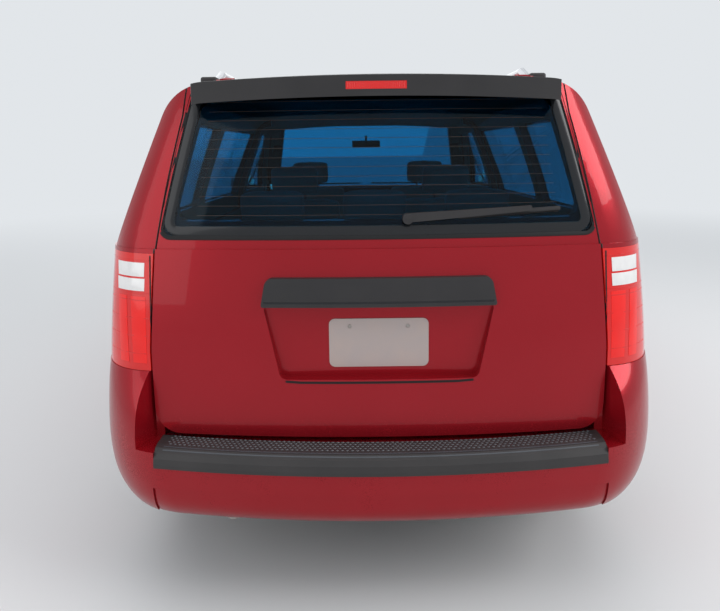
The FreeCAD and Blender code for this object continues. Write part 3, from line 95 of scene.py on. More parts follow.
@dataclass
class GroupBook:
    """Builds each shared shader group once and keeps it."""

    made: dict[Group, NodeTree] = field(default_factory=dict)

    def get(self, group: Group) -> NodeTree:
        """Returns a shared group.

        Args:
            group: Which group is wanted.

        Returns:
            The node tree, built at the first call.
        """
        if group not in self.made:
            builders: dict[Group, Callable[[], NodeTree]] = {
                Group.GRAIN: self._grain,
                Group.DUST: self._dust,
                Group.WEAVE: self._weave,
            }
            self.made[group] = builders[group]()
        return self.made[group]

    @staticmethod
    def _start(group: Group, inputs: Sequence[tuple[str, str, float]],
               outputs: Sequence[tuple[str, str]]) -> tuple[NodeTree, bpy.types.Node, bpy.types.Node]:
        """Starts a group with its sockets.

        Args:
            group: The group's name.
            inputs: Socket names, types and start values.
            outputs: Socket names and types.

        Returns:
            The tree, its input node and its output node.
        """
        tree = bpy.data.node_groups.new(group.value, "ShaderNodeTree")
        for name, kind, value in inputs:
            socket = tree.interface.new_socket(name, in_out="INPUT", socket_type=kind)
            if kind == "NodeSocketFloat":
                socket.default_value = value
        for name, kind in outputs:
            tree.interface.new_socket(name, in_out="OUTPUT", socket_type=kind)
        return tree, tree.nodes.new("NodeGroupInput"), tree.nodes.new("NodeGroupOutput")

    def _grain(self) -> NodeTree:
        """Fine moulded or cast grain: a normal and a roughness that vary over the surface.

        Returns:
            The group's tree.
        """
        tree, source, target = self._start(
            Group.GRAIN,
            (("Scale", "NodeSocketFloat", 400.0), ("Depth", "NodeSocketFloat", 0.1),
             ("Roughness", "NodeSocketFloat", 0.5), ("Spread", "NodeSocketFloat", 0.08)),
            (("Normal", "NodeSocketVector"), ("Roughness", "NodeSocketFloat")))
        place = tree.nodes.new("ShaderNodeTexCoord")
        noise = tree.nodes.new("ShaderNodeTexNoise")
        noise.inputs["Detail"].default_value = 4.0
        bump = tree.nodes.new("ShaderNodeBump")
        bump.inputs["Distance"].default_value = 0.002
        spread = tree.nodes.new("ShaderNodeMath")
        spread.operation = "MULTIPLY_ADD"
        centre = tree.nodes.new("ShaderNodeMath")
        centre.operation = "SUBTRACT"
        centre.inputs[1].default_value = 0.5
        link = tree.links.new
        link(place.outputs["Object"], noise.inputs["Vector"])
        link(source.outputs["Scale"], noise.inputs["Scale"])
        link(noise.outputs["Fac"], bump.inputs["Height"])
        link(source.outputs["Depth"], bump.inputs["Strength"])
        link(noise.outputs["Fac"], centre.inputs[0])
        link(centre.outputs[0], spread.inputs[0])
        link(source.outputs["Spread"], spread.inputs[1])
        link(source.outputs["Roughness"], spread.inputs[2])
        link(bump.outputs["Normal"], target.inputs["Normal"])
        link(spread.outputs[0], target.inputs["Roughness"])
        return tree

    def _dust(self) -> NodeTree:
        """Thin road film that thickens towards the ground: a mask from 0 to 1.

        Returns:
            The group's tree.
        """
        tree, source, target = self._start(
            Group.DUST,
            (("Top", "NodeSocketFloat", 0.7), ("Amount", "NodeSocketFloat", 0.5)),
            (("Mask", "NodeSocketFloat"),))
        place = tree.nodes.new("ShaderNodeTexCoord")
        split = tree.nodes.new("ShaderNodeSeparateXYZ")
        height = tree.nodes.new("ShaderNodeMapRange")
        height.inputs["From Min"].default_value = 0.1
        height.inputs["To Min"].default_value = 1.0
        height.inputs["To Max"].default_value = 0.0
        noise = tree.nodes.new("ShaderNodeTexNoise")
        noise.inputs["Scale"].default_value = 7.0
        noise.inputs["Detail"].default_value = 8.0
        noise.inputs["Roughness"].default_value = 0.65
        mix = tree.nodes.new("ShaderNodeMath")
        mix.operation = "MULTIPLY"
        strength = tree.nodes.new("ShaderNodeMath")
        strength.operation = "MULTIPLY"
        link = tree.links.new
        link(place.outputs["Object"], split.inputs[0])
        link(place.outputs["Object"], noise.inputs["Vector"])
        link(split.outputs["Z"], height.inputs["Value"])
        link(source.outputs["Top"], height.inputs["From Max"])
        link(height.outputs[0], mix.inputs[0])
        link(noise.outputs["Fac"], mix.inputs[1])
        link(mix.outputs[0], strength.inputs[0])
        link(source.outputs["Amount"], strength.inputs[1])
        link(strength.outputs[0], target.inputs["Mask"])
        return tree

    def _weave(self) -> NodeTree:
        """Two crossed thread waves for seat cloth: a normal.

        Returns:
            The group's tree.
        """
        tree, source, target = self._start(
            Group.WEAVE,
            (("Scale", "NodeSocketFloat", 320.0), ("Depth", "NodeSocketFloat", 0.4)),
            (("Normal", "NodeSocketVector"),))
        place = tree.nodes.new("ShaderNodeTexCoord")
        total = tree.nodes.new("ShaderNodeMath")
        total.operation = "MAXIMUM"
        bump = tree.nodes.new("ShaderNodeBump")
        bump.inputs["Distance"].default_value = 0.001
        link = tree.links.new
        for index, axis in enumerate(("X", "Z")):
            wave = tree.nodes.new("ShaderNodeTexWave")
            wave.bands_direction = axis
            wave.inputs["Distortion"].default_value = 0.6
            wave.inputs["Detail"].default_value = 1.0
            link(place.outputs["Object"], wave.inputs["Vector"])
            link(source.outputs["Scale"], wave.inputs["Scale"])
            link(wave.outputs["Fac"], total.inputs[index])
        link(total.outputs[0], bump.inputs["Height"])
        link(source.outputs["Depth"], bump.inputs["Strength"])
        link(bump.outputs["Normal"], target.inputs["Normal"])
        return tree


GROUPS = GroupBook()


# Finishes


@dataclass(frozen=True)
class Finish:
    """One surface finish: a patchy colour, a grain and dust, all worked out from Object coordinates."""

    name: str
    colour: Colour
    second: Colour = (0.0, 0.0, 0.0)
    patch: float = 0.0
    patch_scale: float = 6.0
    roughness: float = 0.5
    grain_scale: float = 400.0
    grain_depth: float = 0.1
    spread: float = 0.08
    metallic: float = 0.0
    coat: float = 0.0
    coat_roughness: float = 0.03
    dust: float = 0.0
    dust_top: float = 0.7
    dust_colour: Colour = (0.33, 0.29, 0.25)
    sheen: float = 0.0
    transmission: float = 0.0
    ior: float = 1.5
    specular: float = 0.5

    def make(self) -> Material:
        """Builds the material.

        Returns:
            A node material ready for a slot.
        """
        material = bpy.data.materials.new(self.name)
        material.use_nodes = True
        tree = material.node_tree
        shader = tree.nodes["Principled BSDF"]
        link = tree.links.new
        shader.inputs["Metallic"].default_value = self.metallic
        shader.inputs["Coat Weight"].default_value = self.coat
        shader.inputs["Coat Roughness"].default_value = self.coat_roughness
        shader.inputs["Sheen Weight"].default_value = self.sheen
        shader.inputs["Transmission Weight"].default_value = self.transmission
        shader.inputs["IOR"].default_value = self.ior
        shader.inputs["Specular IOR Level"].default_value = self.specular
        place = tree.nodes.new("ShaderNodeTexCoord")
        noise = tree.nodes.new("ShaderNodeTexNoise")
        noise.inputs["Scale"].default_value = self.patch_scale
        noise.inputs["Detail"].default_value = 5.0
        patch = tree.nodes.new("ShaderNodeMapRange")
        patch.inputs["From Min"].default_value = 0.3
        patch.inputs["From Max"].default_value = 0.7
        patch.inputs["To Max"].default_value = self.patch
        blend = tree.nodes.new("ShaderNodeMix")
        blend.data_type = "RGBA"
        blend.inputs["A"].default_value = (*self.colour, 1.0)
        blend.inputs["B"].default_value = (*self.second, 1.0)
        link(place.outputs["Object"], noise.inputs["Vector"])
        link(noise.outputs["Fac"], patch.inputs["Value"])
        link(patch.outputs[0], blend.inputs["Factor"])
        colour = blend.outputs["Result"]
        grain = tree.nodes.new("ShaderNodeGroup")
        grain.node_tree = GROUPS.get(Group.GRAIN)
        for name, value in (("Scale", self.grain_scale), ("Depth", self.grain_depth),
                            ("Roughness", self.roughness), ("Spread", self.spread)):
            grain.inputs[name].default_value = value
        if self.grain_depth > 0:
            link(grain.outputs["Normal"], shader.inputs["Normal"])
        rough = grain.outputs["Roughness"]
        if self.dust > 0:
            film = tree.nodes.new("ShaderNodeGroup")
            film.node_tree = GROUPS.get(Group.DUST)
            film.inputs["Top"].default_value = self.dust_top
            film.inputs["Amount"].default_value = self.dust
            cover = tree.nodes.new("ShaderNodeMix")
            cover.data_type = "RGBA"
            cover.inputs["B"].default_value = (*self.dust_colour, 1.0)
            dull = tree.nodes.new("ShaderNodeMath")
            dull.operation = "ADD"
            dull.use_clamp = True
            link(film.outputs["Mask"], cover.inputs["Factor"])
            link(colour, cover.inputs["A"])
            link(film.outputs["Mask"], dull.inputs[0])
            link(rough, dull.inputs[1])
            colour, rough = cover.outputs["Result"], dull.outputs[0]
        link(colour, shader.inputs["Base Color"])
        link(rough, shader.inputs["Roughness"])
        self.extra(tree, shader)
        return material

    def extra(self, tree: NodeTree, shader: bpy.types.Node) -> None:
        """Adds what one kind of finish needs beyond the rest."""


@dataclass(frozen=True)
class FlakePaint(Finish):
    """Metallic body paint: flakes under a clear coat."""

    flake_scale: float = 1800.0
    less_metal: float = 0.15
    more_metal: float = 0.1

    def extra(self, tree: NodeTree, shader: bpy.types.Node) -> None:
        """Adds flakes that vary the metal share over the surface.

        Args:
            tree: The material's nodes.
            shader: Its shader.
        """
        place = tree.nodes.new("ShaderNodeTexCoord")
        flakes = tree.nodes.new("ShaderNodeTexVoronoi")
        flakes.inputs["Scale"].default_value = self.flake_scale
        metal = tree.nodes.new("ShaderNodeMapRange")
        metal.inputs["To Min"].default_value = self.metallic - self.less_metal
        metal.inputs["To Max"].default_value = self.metallic + self.more_metal
        tree.links.new(place.outputs["Object"], flakes.inputs["Vector"])
        tree.links.new(flakes.outputs["Distance"], metal.inputs["Value"])
        tree.links.new(metal.outputs[0], shader.inputs["Metallic"])


@dataclass(frozen=True)
class SeatCloth(Finish):
    """Woven seat cloth."""

    thread_scale: float = 320.0

    def extra(self, tree: NodeTree, shader: bpy.types.Node) -> None:
        """Puts the weave's normal in place of the grain's.

        Args:
            tree: The material's nodes.
            shader: Its shader.
        """
        weave = tree.nodes.new("ShaderNodeGroup")
        weave.node_tree = GROUPS.get(Group.WEAVE)
        weave.inputs["Scale"].default_value = self.thread_scale
        tree.links.new(weave.outputs["Normal"], shader.inputs["Normal"])


FINISHES: tuple[Finish, ...] = (
    FlakePaint("crimson_paint", (0.34, 0.006, 0.014), (0.28, 0.004, 0.009), patch=0.5, patch_scale=2.0,
               roughness=0.26, grain_depth=0.0, spread=0.04, metallic=0.5, coat=0.35, specular=0.15,
               dust=0.10, dust_colour=(0.24, 0.13, 0.10)),
    Finish("dark_plastic", (0.022, 0.021, 0.022), (0.036, 0.033, 0.034), patch=0.5, roughness=0.48,
           grain_scale=700.0, grain_depth=0.12, specular=0.35, dust=0.15),
    Finish("black_rubber", (0.010, 0.010, 0.011), (0.018, 0.018, 0.018), patch=0.4, roughness=0.6,
           grain_depth=0.08, specular=0.25),
    Finish("tinted_glass", (0.02, 0.27, 0.44), (0.017, 0.25, 0.41), patch=0.3, roughness=0.02,
           grain_depth=0.0, spread=0.01, transmission=1.0, ior=1.22),
    Finish("red_lens", (0.74, 0.012, 0.010), (0.62, 0.008, 0.008), patch=0.4, roughness=0.14, grain_depth=0.0,
           spread=0.03, coat=0.4, specular=0.3),
    Finish("clear_lens", (0.78, 0.8, 0.82), (0.7, 0.72, 0.75), patch=0.3, roughness=0.08, grain_depth=0.0,
           transmission=0.6, coat=1.0),
    Finish("silver_plastic", (0.5, 0.51, 0.53), (0.42, 0.43, 0.45), patch=0.4, roughness=0.3, metallic=0.8,
           coat=0.6, grain_depth=0.0, dust=0.35, dust_top=0.75),
    Finish("tyre_rubber", (0.018, 0.018, 0.018), (0.04, 0.038, 0.035), patch=0.6, roughness=0.75,
           grain_scale=500.0, grain_depth=0.25, dust=0.5, dust_top=0.75),
    Finish("bare_steel", (0.42, 0.41, 0.4), (0.25, 0.2, 0.16), patch=0.6, patch_scale=12.0, roughness=0.38,
           metallic=1.0, grain_depth=0.1, dust=0.4),
    Finish("chassis_black", (0.03, 0.03, 0.032), (0.07, 0.055, 0.045), patch=0.6, roughness=0.6,
           grain_depth=0.2, dust=0.6),
    Finish("cast_iron", (0.13, 0.12, 0.115), (0.17, 0.1, 0.06), patch=0.7, patch_scale=15.0, roughness=0.65,
           metallic=0.6, grain_scale=250.0, grain_depth=0.4, dust=0.4),
    SeatCloth("seat_cloth", (0.30, 0.28, 0.26), (0.26, 0.24, 0.22), patch=0.5, roughness=0.9, sheen=0.4),
    Finish("cabin_plastic", (0.13, 0.125, 0.12), (0.15, 0.145, 0.14), patch=0.5, roughness=0.55,
           grain_scale=900.0, grain_depth=0.2),
    Finish("gloss_black", (0.008, 0.009, 0.011), (0.013, 0.014, 0.016), patch=0.4, roughness=0.18,
           grain_depth=0.0, coat=0.2, specular=0.3),
    Finish("pad_plastic", (0.05, 0.055, 0.065), (0.075, 0.08, 0.09), patch=0.6, patch_scale=12.0,
           roughness=0.42, grain_scale=600.0, grain_depth=0.1),
    Finish("heater_line", (0.035, 0.022, 0.016), (0.03, 0.018, 0.012), patch=0.4, roughness=0.5,
           grain_depth=0.0),
    Finish("white_lens", (0.86, 0.84, 0.82), (0.74, 0.72, 0.72), patch=0.6, patch_scale=40.0, roughness=0.15,
           grain_depth=0.0, coat=1.0),
    Finish("bright_red_lens", (0.93, 0.012, 0.008), (0.80, 0.010, 0.008), patch=0.5, patch_scale=20.0,
           roughness=0.12, grain_depth=0.0, coat=0.3, specular=0.3),
    Finish("amber_lens", (0.8, 0.28, 0.03), (0.65, 0.2, 0.02), patch=0.4, roughness=0.12, grain_depth=0.0,
           coat=1.0),
    Finish("mirror_glass", (0.8, 0.82, 0.84), (0.76, 0.78, 0.8), patch=0.2, roughness=0.03, grain_depth=0.0,
           spread=0.01, metallic=1.0),
    Finish("plate_face", (0.46, 0.37, 0.34), (0.40, 0.35, 0.35), patch=0.5, patch_scale=20.0, roughness=0.35,
           grain_depth=0.03, dust=0.25, dust_top=1.4),
)


@dataclass
class Palette:
    """Every finish by name, made once."""

    made: dict[str, Material] = field(default_factory=dict)

    def __post_init__(self) -> None:
        """Makes all finishes."""
        for finish in FINISHES:
            self.made[finish.name] = finish.make()

    def __getitem__(self, name: str) -> Material:
        """Returns a finish's material."""
        return self.made[name]


PALETTE = Palette()


# Laying pieces on the CAD surfaces


class Way(Enum):
    """From where a piece is laid: a start, two axes in the plan and the direction of sight."""

    REAR = ((0, 4, 0), (1, 0, 0), (0, 0, 1), (0, -1, 0))
    FRONT = ((0, -4, 0), (1, 0, 0), (0, 0, 1), (0, 1, 0))
    LEFT = ((2, 0, 0), (0, 1, 0), (0, 0, 1), (-1, 0, 0))
    RIGHT = ((-2, 0, 0), (0, 1, 0), (0, 0, 1), (1, 0, 0))
    TOP = ((0, 0, 3), (1, 0, 0), (0, 1, 0), (0, 0, -1))

    @classmethod
    def of_side(cls, side: Side) -> "Way":
        """The way that faces one side of the vehicle."""
        return cls.LEFT if side is Side.LEFT else cls.RIGHT

    @property
    def reach(self) -> float:
        """How far a line of sight goes, from a side short of the far wall."""
        return 1.55 if self in (Way.LEFT, Way.RIGHT) else 5.2


def dense(path: Sequence[Point2], step: float, closed: bool = False) -> list[Point2]:
    """Divides the straight runs of a path.

    Args:
        path: The corners.
        step: The longest distance between two points.
        closed: Whether the last corner joins the first.

    Returns:
        The path with every run divided. A closed one ends where it starts.
    """
    corners = list(path) + ([path[0]] if closed else [])
    out: list[Point2] = []
    for a, b in zip(corners, corners[1:]):
        count = max(1, math.ceil(math.dist(a, b) / step))
        out += [(a[0] + (b[0] - a[0]) * i / count, a[1] + (b[1] - a[1]) * i / count) for i in range(count)]
    return out + [corners[-1]]


def rounded(corners: Sequence[Corner], segments: int = 6) -> list[Point2]:
    """Rounds the corners of a closed outline.

    Args:
        corners: Rows of two coordinates and a corner radius.
        segments: Steps on each rounded corner.

    Returns:
        The outline's points.
    """
    out: list[Point2] = []
    for i, (u, v, radius) in enumerate(corners):
        here = Vector((u, v))
        back = (Vector(corners[i - 1][:2]) - here).normalized()
        ahead = (Vector(corners[(i + 1) % len(corners)][:2]) - here).normalized()
        half = back.angle(ahead) / 2
        if radius <= 0 or half > FLAT_HALF_ANGLE:
            out.append((u, v))
            continue
        centre = here + (back + ahead).normalized() * (radius / math.sin(half))
        start = here + back * (radius / math.tan(half)) - centre
        end = here + ahead * (radius / math.tan(half)) - centre
        turn = math.atan2(start.x * end.y - start.y * end.x, start.dot(end))
        for k in range(segments + 1):
            spoke = Matrix.Rotation(turn * k / segments, 2) @ start
            out.append(tuple(centre + spoke))
    return out


def both_halves(half: Sequence[Corner]) -> list[Corner]:
    """A whole outline from its half on the left, given from the bottom up."""
    return list(half) + [(-u, v, radius) for u, v, radius in reversed(half)]


def circle(u: float, v: float, radius: float, count: int = 28) -> list[Point2]:
    """A round path about a point."""
    return [(u + radius * math.cos(2 * math.pi * i / count), v + radius * math.sin(2 * math.pi * i / count))
            for i in range(count)]


def mirrored(points: Iterable[Point2], side: Side) -> Run:
    """Points across the vehicle, given for the left, on one side."""
    return tuple((side.value * u, v) for u, v in points)


def oblong(u_low: float, v_low: float, u_high: float, v_high: float) -> Run:
    """The four corners of an upright oblong, in order round it."""
    return (u_low, v_low), (u_high, v_low), (u_high, v_high), (u_low, v_high)


def lines(*paths: Sequence[Point2]) -> Paths:
    """Rows of open paths for bands."""
    return tuple((path, False) for path in paths)


def rings(*paths: Sequence[Point2]) -> Paths:
    """Rows of closed paths for bands."""
    return tuple((path, True) for path in paths)


@dataclass
class Surface:
    """CAD nodes taken as one surface that pieces are laid on, seen one way."""

    nudge: ClassVar[float] = 0.0015
    least_facing: ClassVar[float] = 0.15
    longest_edge: ClassVar[float] = 0.12
    sink: ClassVar[float] = 0.0008
    plate_back: ClassVar[float] = 0.0012
    shoulder: ClassVar[Point2] = (0.4, 0.8)

    nodes: tuple[str, ...]
    way: Way
    tree: Optional[BVHTree] = None

    def __post_init__(self) -> None:
        """Builds the search tree over the nodes' meshes."""
        points: list[Vector] = []
        faces: list[tuple[int, ...]] = []
        for name in self.nodes:
            mesh = frame["nodes"][name].data
            first = len(points)
            points += [vertex.co.copy() for vertex in mesh.vertices]
            faces += [tuple(first + i for i in polygon.vertices) for polygon in mesh.polygons]
        self.tree = BVHTree.FromPolygons(points, faces)

    def spot(self, u: float, v: float, lift: float = 0.0) -> Optional[Vector]:
        """Finds the surface behind one point of the plan.

        Args:
            u: The first coordinate in the plan.
            v: The second coordinate in the plan.
            lift: The distance to stand off the surface.

        Returns:
            The place, or None where there is no surface.
        """
        start, along_u, along_v, sight = (Vector(part) for part in self.way.value)
        place = normal = None
        near = self.nudge
        for du, dv in ((0, 0), (0, near), (0, -near), (near, 0), (-near, 0)):
            if place is None:
                plan = start + along_u * (u + du) + along_v * (v + dv)
                place, normal, _, _ = self.tree.ray_cast(plan, sight, self.way.reach)
        if place is None:
            return None
        if normal.dot(sight) > 0:
            normal = -normal
        if normal.dot(sight) > -self.least_facing:
            normal = -sight
        return place + normal * lift

    def lay(self, bm: bmesh.types.BMesh, plan: Plan, cells: tuple[int, int], depth: float) -> None:
        """Lays a grid on the surface and gives it a back.

        Args:
            bm: The mesh that takes it.
            plan: Gives two coordinates and a lift for each share along and across the grid.
            cells: The grid's divisions along and across.
            depth: How far the back goes below the face.
        """
        old = set(bm.faces)
        made = bmesh.ops.create_grid(bm, x_segments=cells[0], y_segments=cells[1], size=0.5)["verts"]
        lost = []
        for vertex in made:
            place = self.spot(*plan(vertex.co.x + 0.5, vertex.co.y + 0.5))
            if place is None:
                lost.append(vertex)
            else:
                vertex.co = place
        bmesh.ops.delete(bm, geom=lost, context="VERTS")
        bmesh.ops.remove_doubles(bm, verts=[vertex for vertex in made if vertex.is_valid], dist=SAME_PLACE)
        laid = [face for face in bm.faces if face not in old]
        steep = [face for face in laid if max(edge.calc_length() for edge in face.edges) > self.longest_edge]
        bmesh.ops.delete(bm, geom=steep, context="FACES")
        laid = [face for face in laid if face.is_valid]
        grown = bmesh.ops.extrude_face_region(bm, geom=laid)["geom"]
        back = [item for item in grown if isinstance(item, bmesh.types.BMVert)]
        bmesh.ops.translate(bm, vec=Vector(self.way.value[3]) * depth, verts=back)

    def band(self, bm: bmesh.types.BMesh, path: Sequence[Point2], width: float, lift: float) -> None:
        """Lays a band with a raised middle along a path.

        Args:
            bm: The mesh that takes it.
            path: Points in the plan. A ring ends where it starts.
            width: The band's width.
            lift: How far its middle stands off the surface.
        """
        ring = math.dist(path[0], path[-1]) < SAME_PLACE
        last = len(path) - 1
        out, up = self.shoulder
        section = ((-0.5, -self.sink), (-out, lift * up), (0.0, lift), (out, lift * up), (0.5, -self.sink))

        def plan(along: float, across: float) -> Point3:
            """Finds one point of the band.

            Args:
                along: The share along the path.
                across: The share across the band.

            Returns:
                Two coordinates and a lift.
            """
            i = round(along * last)
            before = path[i - 1] if i > 0 else path[-2 if ring else 0]
            after = path[i + 1] if i < last else path[1 if ring else last]
            run = Vector((after[0] - before[0], after[1] - before[1])).normalized()
            share, rise = section[round(across * (len(section) - 1))]
            return path[i][0] - run.y * width * share, path[i][1] + run.x * width * share, rise

        self.lay(bm, plan, (last, len(section) - 1), self.sink)

    def plate(self, bm: bmesh.types.BMesh, corners: Sequence[Point2], lift: float,
              cells: tuple[int, int] = (8, 6), crown: float = 0.0) -> None:
        """Lays a plate with four corners.

        Args:
            bm: The mesh that takes it.
            corners: Four points in the plan, in order round the plate.
            lift: How far its face stands off the surface.
            cells: Its divisions along the first and the second edge.
            crown: How much further its middle stands off than its edges.
        """
        a, b, c, d = (Vector(corner) for corner in corners)

        def plan(s: float, t: float) -> Point3:
            """Finds one point of the plate from its shares along both edges."""
            place = (a * (1 - s) + b * s) * (1 - t) + (d * (1 - s) + c * s) * t
            return place.x, place.y, lift + crown * (1 - (2 * s - 1) ** 2) * (1 - (2 * t - 1) ** 2)

        self.lay(bm, plan, cells, lift + self.plate_back)


# Kinds of piece


@dataclass
class Piece:
    """One dressed piece: its name, the body it rides on, its record slot and its finish."""

    name: str
    body: str
    slot: str
    finish: str
    replaces: tuple[str, ...] = ()
    sharp_deg: float = 32.0

    def form(self, bm: bmesh.types.BMesh) -> None:
        """Adds the piece's shape."""

    def modify(self, piece: SceneObject) -> None:
        """Adds modifiers where the piece needs them."""

    def build(self) -> SceneObject:
        """Makes the object and says what it rides on.

        Returns:
            The finished object.
        """
        bm = bmesh.new()
        self.form(bm)
        bmesh.ops.recalc_face_normals(bm, faces=bm.faces)
        limit = math.radians(self.sharp_deg)
        for face in bm.faces:
            face.smooth = True
        for edge in bm.edges:
            edge.smooth = len(edge.link_faces) == 2 and edge.calc_face_angle(math.pi) < limit
        mesh = bpy.data.meshes.new(self.name)
        bm.to_mesh(mesh)
        bm.free()
        piece = bpy.data.objects.new(self.name, mesh)
        bpy.context.collection.objects.link(piece)
        mesh.materials.append(PALETTE[self.finish])
        self.modify(piece)
        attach(piece, self.body)
        if self.replaces:
            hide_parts(*self.replaces)
        LOG.info("%s: %d faces", self.name, len(mesh.polygons))
        return piece


@dataclass
class Bands(Piece):
    """Bands laid along paths. A row of paths holds the points and whether they close."""

    nodes: tuple[str, ...] = ()
    way: Way = Way.REAR
    paths: Paths = ()
    width: float = 0.01
    lift: float = 0.0015
    step: float = 0.03

    def form(self, bm: bmesh.types.BMesh) -> None:
        """Lays each band.

        Args:
            bm: The mesh that takes them.
        """
        surface = Surface(self.nodes, self.way)
        for path, closed in self.paths:
            surface.band(bm, dense(path, self.step, closed), self.width, self.lift)


@dataclass
class Tiles(Piece):
    """Plates laid on a surface. Each row of plates has four corners."""

    nodes: tuple[str, ...] = ()
    way: Way = Way.REAR
    plates: tuple[Run, ...] = ()
    lift: float = 0.001
    cells: tuple[int, int] = (8, 6)
    crown: float = 0.0

    def form(self, bm: bmesh.types.BMesh) -> None:
        """Lays each plate.

        Args:
            bm: The mesh that takes them.
        """
        surface = Surface(self.nodes, self.way)
        for corners in self.plates:
            surface.plate(bm, corners, self.lift, self.cells, self.crown)


def block(bm: bmesh.types.BMesh, low: Sequence[float], high: Sequence[float], edge: float,
          segments: int = 2) -> None:
    """Adds a box with rounded edges.

    Args:
        bm: The mesh that takes it.
        low: Its lowest corner.
        high: Its highest corner.
        edge: Its edge radius.
        segments: The steps on each rounded edge.
    """
    made = bmesh.ops.create_cube(bm, size=1.0)["verts"]
    bmesh.ops.scale(bm, vec=Vector(high) - Vector(low), verts=made)
    bmesh.ops.translate(bm, vec=(Vector(low) + Vector(high)) / 2, verts=made)
    if edge > 0:
        edges = list({link for vertex in made for link in vertex.link_edges})
        bmesh.ops.bevel(bm, geom=edges, offset=edge, segments=segments, affect="EDGES", profile=0.5,
                        material=-1)


def lathe(bm: bmesh.types.BMesh, profile: Sequence[Point2], centre: Sequence[float], axis: Sequence[float],
          steps: int = 24) -> None:
    """Turns a profile about an axis.

    Args:
        bm: The mesh that takes it.
        profile: Rows of distance along the axis and radius. Its ends are closed to the axis.
        centre: The point that distances start from.
        axis: The direction of the axis.
        steps: The steps round it.
    """
    turn = Vector(axis).normalized().to_track_quat("Z", "Y").to_matrix()
    rows = [(profile[0][0], 0.0), *profile, (profile[-1][0], 0.0)]
    line = [bm.verts.new(Vector(centre) + turn @ Vector((radius, 0.0, along))) for along, radius in rows]
    edges = [bm.edges.new(pair) for pair in zip(line, line[1:])]
    old = set(bm.verts) - set(line)
    bmesh.ops.spin(bm, geom=line + edges, cent=centre, axis=turn @ Vector((0, 0, 1)), dvec=(0, 0, 0),
                   angle=2 * math.pi, steps=steps, use_merge=True, use_duplicate=False)
    bmesh.ops.remove_doubles(bm, verts=[vertex for vertex in bm.verts if vertex not in old], dist=SAME_PLACE)


@dataclass
class NumberPlate(Piece):
    """A blank number plate: a pressed sheet with a raised rim. A row of the rim has a width and a rise."""

    centre: Point3 = (0.0, 2.4172, 0.8480)
    size: Point2 = (0.305, 0.152)
    corner: float = 0.018
    rim: Run = ((0.0015, 0.0), (0.0015, 0.0014), (0.003, 0.0), (0.0015, -0.0010), (0.004, 0.0))
    thickness: float = 0.0012

    def form(self, bm: bmesh.types.BMesh) -> None:
        """Rounds the sheet's corners, then presses its rim.

        Args:
            bm: The mesh that takes it.
        """
        sheet = bmesh.ops.create_grid(bm, x_segments=1, y_segments=1, size=0.5)["verts"]
        bmesh.ops.scale(bm, vec=(*self.size, 1.0), verts=sheet)
        bmesh.ops.bevel(bm, geom=sheet, offset=self.corner, segments=6, affect="VERTICES", profile=0.5,
                        material=-1)
        face = list(bm.faces)
        for width, rise in self.rim:
            bmesh.ops.inset_region(bm, faces=face, thickness=width, depth=rise)
        grown = bmesh.ops.extrude_face_region(bm, geom=list(bm.faces))["geom"]
        back = [item for item in grown if isinstance(item, bmesh.types.BMVert)]
        for vertex in back:
            vertex.co.z = -self.thickness
        stand = Matrix.Translation(self.centre) @ Matrix.Rotation(math.radians(-90), 4, "X")
        bmesh.ops.transform(bm, matrix=stand, verts=bm.verts)


@dataclass
class PlateScrews(Piece):
    """The number plate's two slotted screws."""

    spots: Run = ((0.0889, 0.9), (-0.0889, 0.9))
    seat_y: float = 2.417
    head: Run = ((0.0, 0.0062), (0.0012, 0.0062), (0.0026, 0.0048), (0.0032, 0.002))
    slot_half: Point2 = (0.0045, 0.0005)
    slot_y: Point2 = (2.4197, 2.4206)

    def form(self, bm: bmesh.types.BMesh) -> None:
        """Turns each head and lays a slot on it.

        Args:
            bm: The mesh that takes them.
        """
        half_x, half_z = self.slot_half
        back, front = self.slot_y
        for x, z in self.spots:
            lathe(bm, self.head, (x, self.seat_y, z), (0, 1, 0), 14)
            block(bm, (x - half_x, back, z - half_z), (x + half_x, front, z + half_z), 0.0)


@dataclass
class PadTread(Piece):
    """Raised studs on the rear step pad, in rows that follow its curve, and two ribs along its edge."""

    top_z: float = 0.554
    arc: float = 3.8
    tail_y: float = 2.5715
    rows: tuple[float, ...] = (0.048, 0.060, 0.072, 0.084, 0.096)
    pitch: float = 0.015
    half: float = 0.655
    stud_radii: Point2 = (0.0058, 0.0032)
    stud_height: float = 0.0022
    stud_squash: float = 0.8
    stud_rise: float = 0.0006
    ribs: tuple[float, ...] = (0.034, 0.022)
    rib_width: float = 0.004
    rib_lift: float = 0.0012
    rib_steps: int = 48

    def form(self, bm: bmesh.types.BMesh) -> None:
        """Sets every stud, with each second row half a pitch along, then lays the ribs.

        Args:
            bm: The mesh that takes them.
        """
        foot, tip = self.stud_radii
        for number, back in enumerate(self.rows):
            for i in range(int(2 * self.half / self.pitch)):
                x = -self.half + self.pitch * (i + 0.5 * (number % 2) + 0.25)
                place = (x, self._depth(x, back), self.top_z + self.stud_rise)
                stud = bmesh.ops.create_cone(bm, cap_ends=True, segments=4, radius1=foot, radius2=tip,
                                             depth=self.stud_height)["verts"]
                bmesh.ops.scale(bm, vec=(1.0, self.stud_squash, 1.0), verts=stud)
                bmesh.ops.translate(bm, vec=place, verts=stud)
        surface = Surface(("step_pad",), Way.TOP)
        xs = [-self.half + 2 * self.half * i / self.rib_steps for i in range(self.rib_steps + 1)]
        for back in self.ribs:
            surface.band(bm, [(x, self._depth(x, back)) for x in xs], self.rib_width, self.rib_lift)

    def _depth(self, x: float, back: float) -> float:
        """How far back the row that stands back by one distance is at x."""
        return self.tail_y - self.arc + math.sqrt((self.arc - back) ** 2 - x ** 2)


